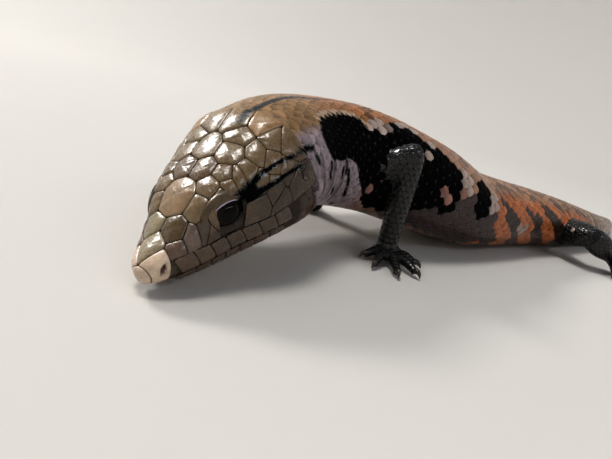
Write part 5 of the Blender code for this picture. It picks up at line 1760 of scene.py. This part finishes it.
def lay_on_tube(coat, tube, places, row, thick, area, pale=0.0):
    """Scales on a tube of a leg, wherever its skin is near; a few may be pale."""
    base = tube_point(tube, places[:, 0], places[:, 1], np.full(len(places), -LEG_DEPTH))[0]
    places = places[[skin_tree.find_nearest(p)[3] < LEG_GAP for p in base]]
    count = len(places)
    wobble = rng.uniform(-1, 1, count)
    tints = (np.zeros((count, 3)) + LEG_BLACK) * (1 + LEG_JITTER * wobble[:, None])
    tints[rng.uniform(0, 1, count) < pale] = PALE_TINT
    grow(coat, tube_surface(tube, True), SMALL_FORM, places[:, 0], places[:, 1],
         np.full(count, row * REACH_SHARE), places[:, 2] * WIDTH_SHARE, tints,
         thick * rng.uniform(0.9, 1.15, count), area)


def leg_coat(name, leg):
    """The scales of a leg and its digits."""
    coat = Coat()
    reach = leg["upper"]["distance"][-1]
    places = tube_rows(leg["upper"], reach * LEG_FIRST, reach * LEG_LAST, LEG_ROW, LEG_BREADTH)
    area = (0.02, 0.02, 0.3 / reach, 0.46)
    lay_on_tube(coat, leg["upper"], places, LEG_ROW, UPPER_THICK, area, PALE_CHANCE)
    reach = leg["lower"]["distance"][-1]
    row, breadth = LEG_ROW * LOWER_SHARES[0], LEG_BREADTH * LOWER_SHARES[1]
    places = tube_rows(leg["lower"], 1.0, reach + 0.5, row, breadth)
    lay_on_tube(coat, leg["lower"], places, row, LOWER_THICK, (0.02, 0.52, 0.3 / reach, 0.46))
    for number, (digit, way) in enumerate(leg["digits"]):
        reach = digit["distance"][-1]
        for row, middle, half, start, light in DIGIT_ROWS:
            d = np.arange(start, reach - 0.2, row)
            every = np.ones(len(d))
            grow(coat, tube_surface(digit, False), SMALL_FORM, d, middle * every,
                 row * DIGIT_SHARE * every, half * every, np.outer(every, LEG_BLACK) * light,
                 DIGIT_SCALE_THICK * every, (0.36 + 0.12 * number, 0.02, 0.1 / reach, 0.9))
    coat.build("scales_" + name + "_leg", LEG_FINISH)


for name, leg in LEGS.items():
    leg_coat(name, leg)

# %% Scales on the backs of the feet
FOOT_RINGS = ((1.4, 7), (3.2, 12), (4.9, 17), (6.1, 19))    # distance from the middle, number of scales
FOOT_REACH, FOOT_WIDTH, FOOT_THICK, PALM_EDGE = 1.5, 0.56, 0.6, 0.985


def palm_surface(leg):
    """A surface over the back of a foot: distance from its middle, and heading round it."""
    def surface(reach, heading, lift):
        turn = heading * 2 * math.pi
        flat = np.clip(reach / PALM_WIDE, 0, PALM_EDGE)
        way = np.cos(turn)[..., None] * leg["forward"] + np.sin(turn)[..., None] * leg["outward"]
        rise = np.sqrt(1 - flat**2)
        point = leg["palm"] + way * (flat * PALM_WIDE)[..., None] + UP * (rise * PALM_HIGH)[..., None]
        out = way * (flat / PALM_WIDE)[..., None] + UP * (rise / PALM_HIGH)[..., None]
        out /= np.linalg.norm(out, axis=-1)[..., None]
        return point + out * (lift - LEG_DEPTH)[..., None]
    return surface


def foot_coat(name, leg):
    """Rings of scales on the back of a foot."""
    coat = Coat()
    for reach, count in FOOT_RINGS:
        heading = (np.arange(count) + 0.5 * (count % 2)) / count
        every = np.ones(count)
        tints = np.outer(1 + LEG_JITTER * rng.uniform(-1, 1, count), LEG_BLACK)
        grow(coat, palm_surface(leg), SMALL_FORM, reach * every, heading, FOOT_REACH * every,
             FOOT_WIDTH / count * every, tints, FOOT_THICK * every, (0.05, 0.02, 0.13, 0.95))
    coat.build("scales_" + name + "_foot", LEG_FINISH)


for name, leg in LEGS.items():
    foot_coat(name, leg)

# %% [markdown]
# ## Claws
#
# Each toe ends in a short, dark, curved claw. A cone bent along a small arc is enough, as long as
# it grows out of the last scale and its point comes down to the ground.

# %% Claws
CLAW_PATH = ((-1.2, 0.5), (1.0, 0.7), (2.1, -0.1), (2.9, -1.4))    # ahead of the toe's tip, and above it
CLAW_SIDES, CLAW_STEPS, CLAW_FLOOR = 14, 16, 0.25
CLAW_THICK, CLAW_TIP, CLAW_TAPER, CLAW_DEEP = 1.12, 0.06, 1.7, 1.15
CLAW_TINT, CLAW_SHADES, CLAW_ROOT = (0.022, 0.017, 0.013), (0.7, 1.6), 0.5


def build_claws():
    """Twenty bent cones, one at the end of each toe."""
    coat = Coat()
    step = np.linspace(0, 1, CLAW_STEPS)
    thick = CLAW_THICK * (1 - step**CLAW_TAPER) + CLAW_TIP
    shade = np.repeat(np.linspace(*CLAW_SHADES, CLAW_STEPS), CLAW_SIDES)
    shade = np.append(shade, [CLAW_SHADES[1], CLAW_ROOT])
    sides = np.arange(CLAW_SIDES) / CLAW_SIDES
    local = np.stack([np.append(np.repeat(step, CLAW_SIDES), [1, 0]),
                      np.append(np.tile(sides, CLAW_STEPS), [0, 0])], -1)
    for number, leg in enumerate(LEGS.values()):
        for toe, (digit, way) in enumerate(leg["digits"]):
            tip = digit["path"][-1]
            hook = np.array([tip + way * ahead + UP * rise for ahead, rise in CLAW_PATH])
            hook[:, 2] = np.maximum(hook[:, 2], CLAW_FLOOR)
            path = limb_curve(hook, CLAW_STEPS)
            tube = make_tube(path, thick, CLAW_DEEP)
            along, fraction = np.meshgrid(tube["distance"], sides, indexing="ij")
            points = tube_point(tube, along, fraction, np.zeros(along.shape))[0].reshape(-1, 3)
            points = np.concatenate([points, path[-1:], path[:1]])
            maps = np.array([0.05 + 0.24 * number, 0.05 + 0.18 * toe]) + 0.12 * local
            coat.add(points, *ring_faces(points, CLAW_SIDES), np.array(CLAW_TINT) * shade[:, None], maps)
    coat.build("claws", CLAW_FINISH)


build_claws()
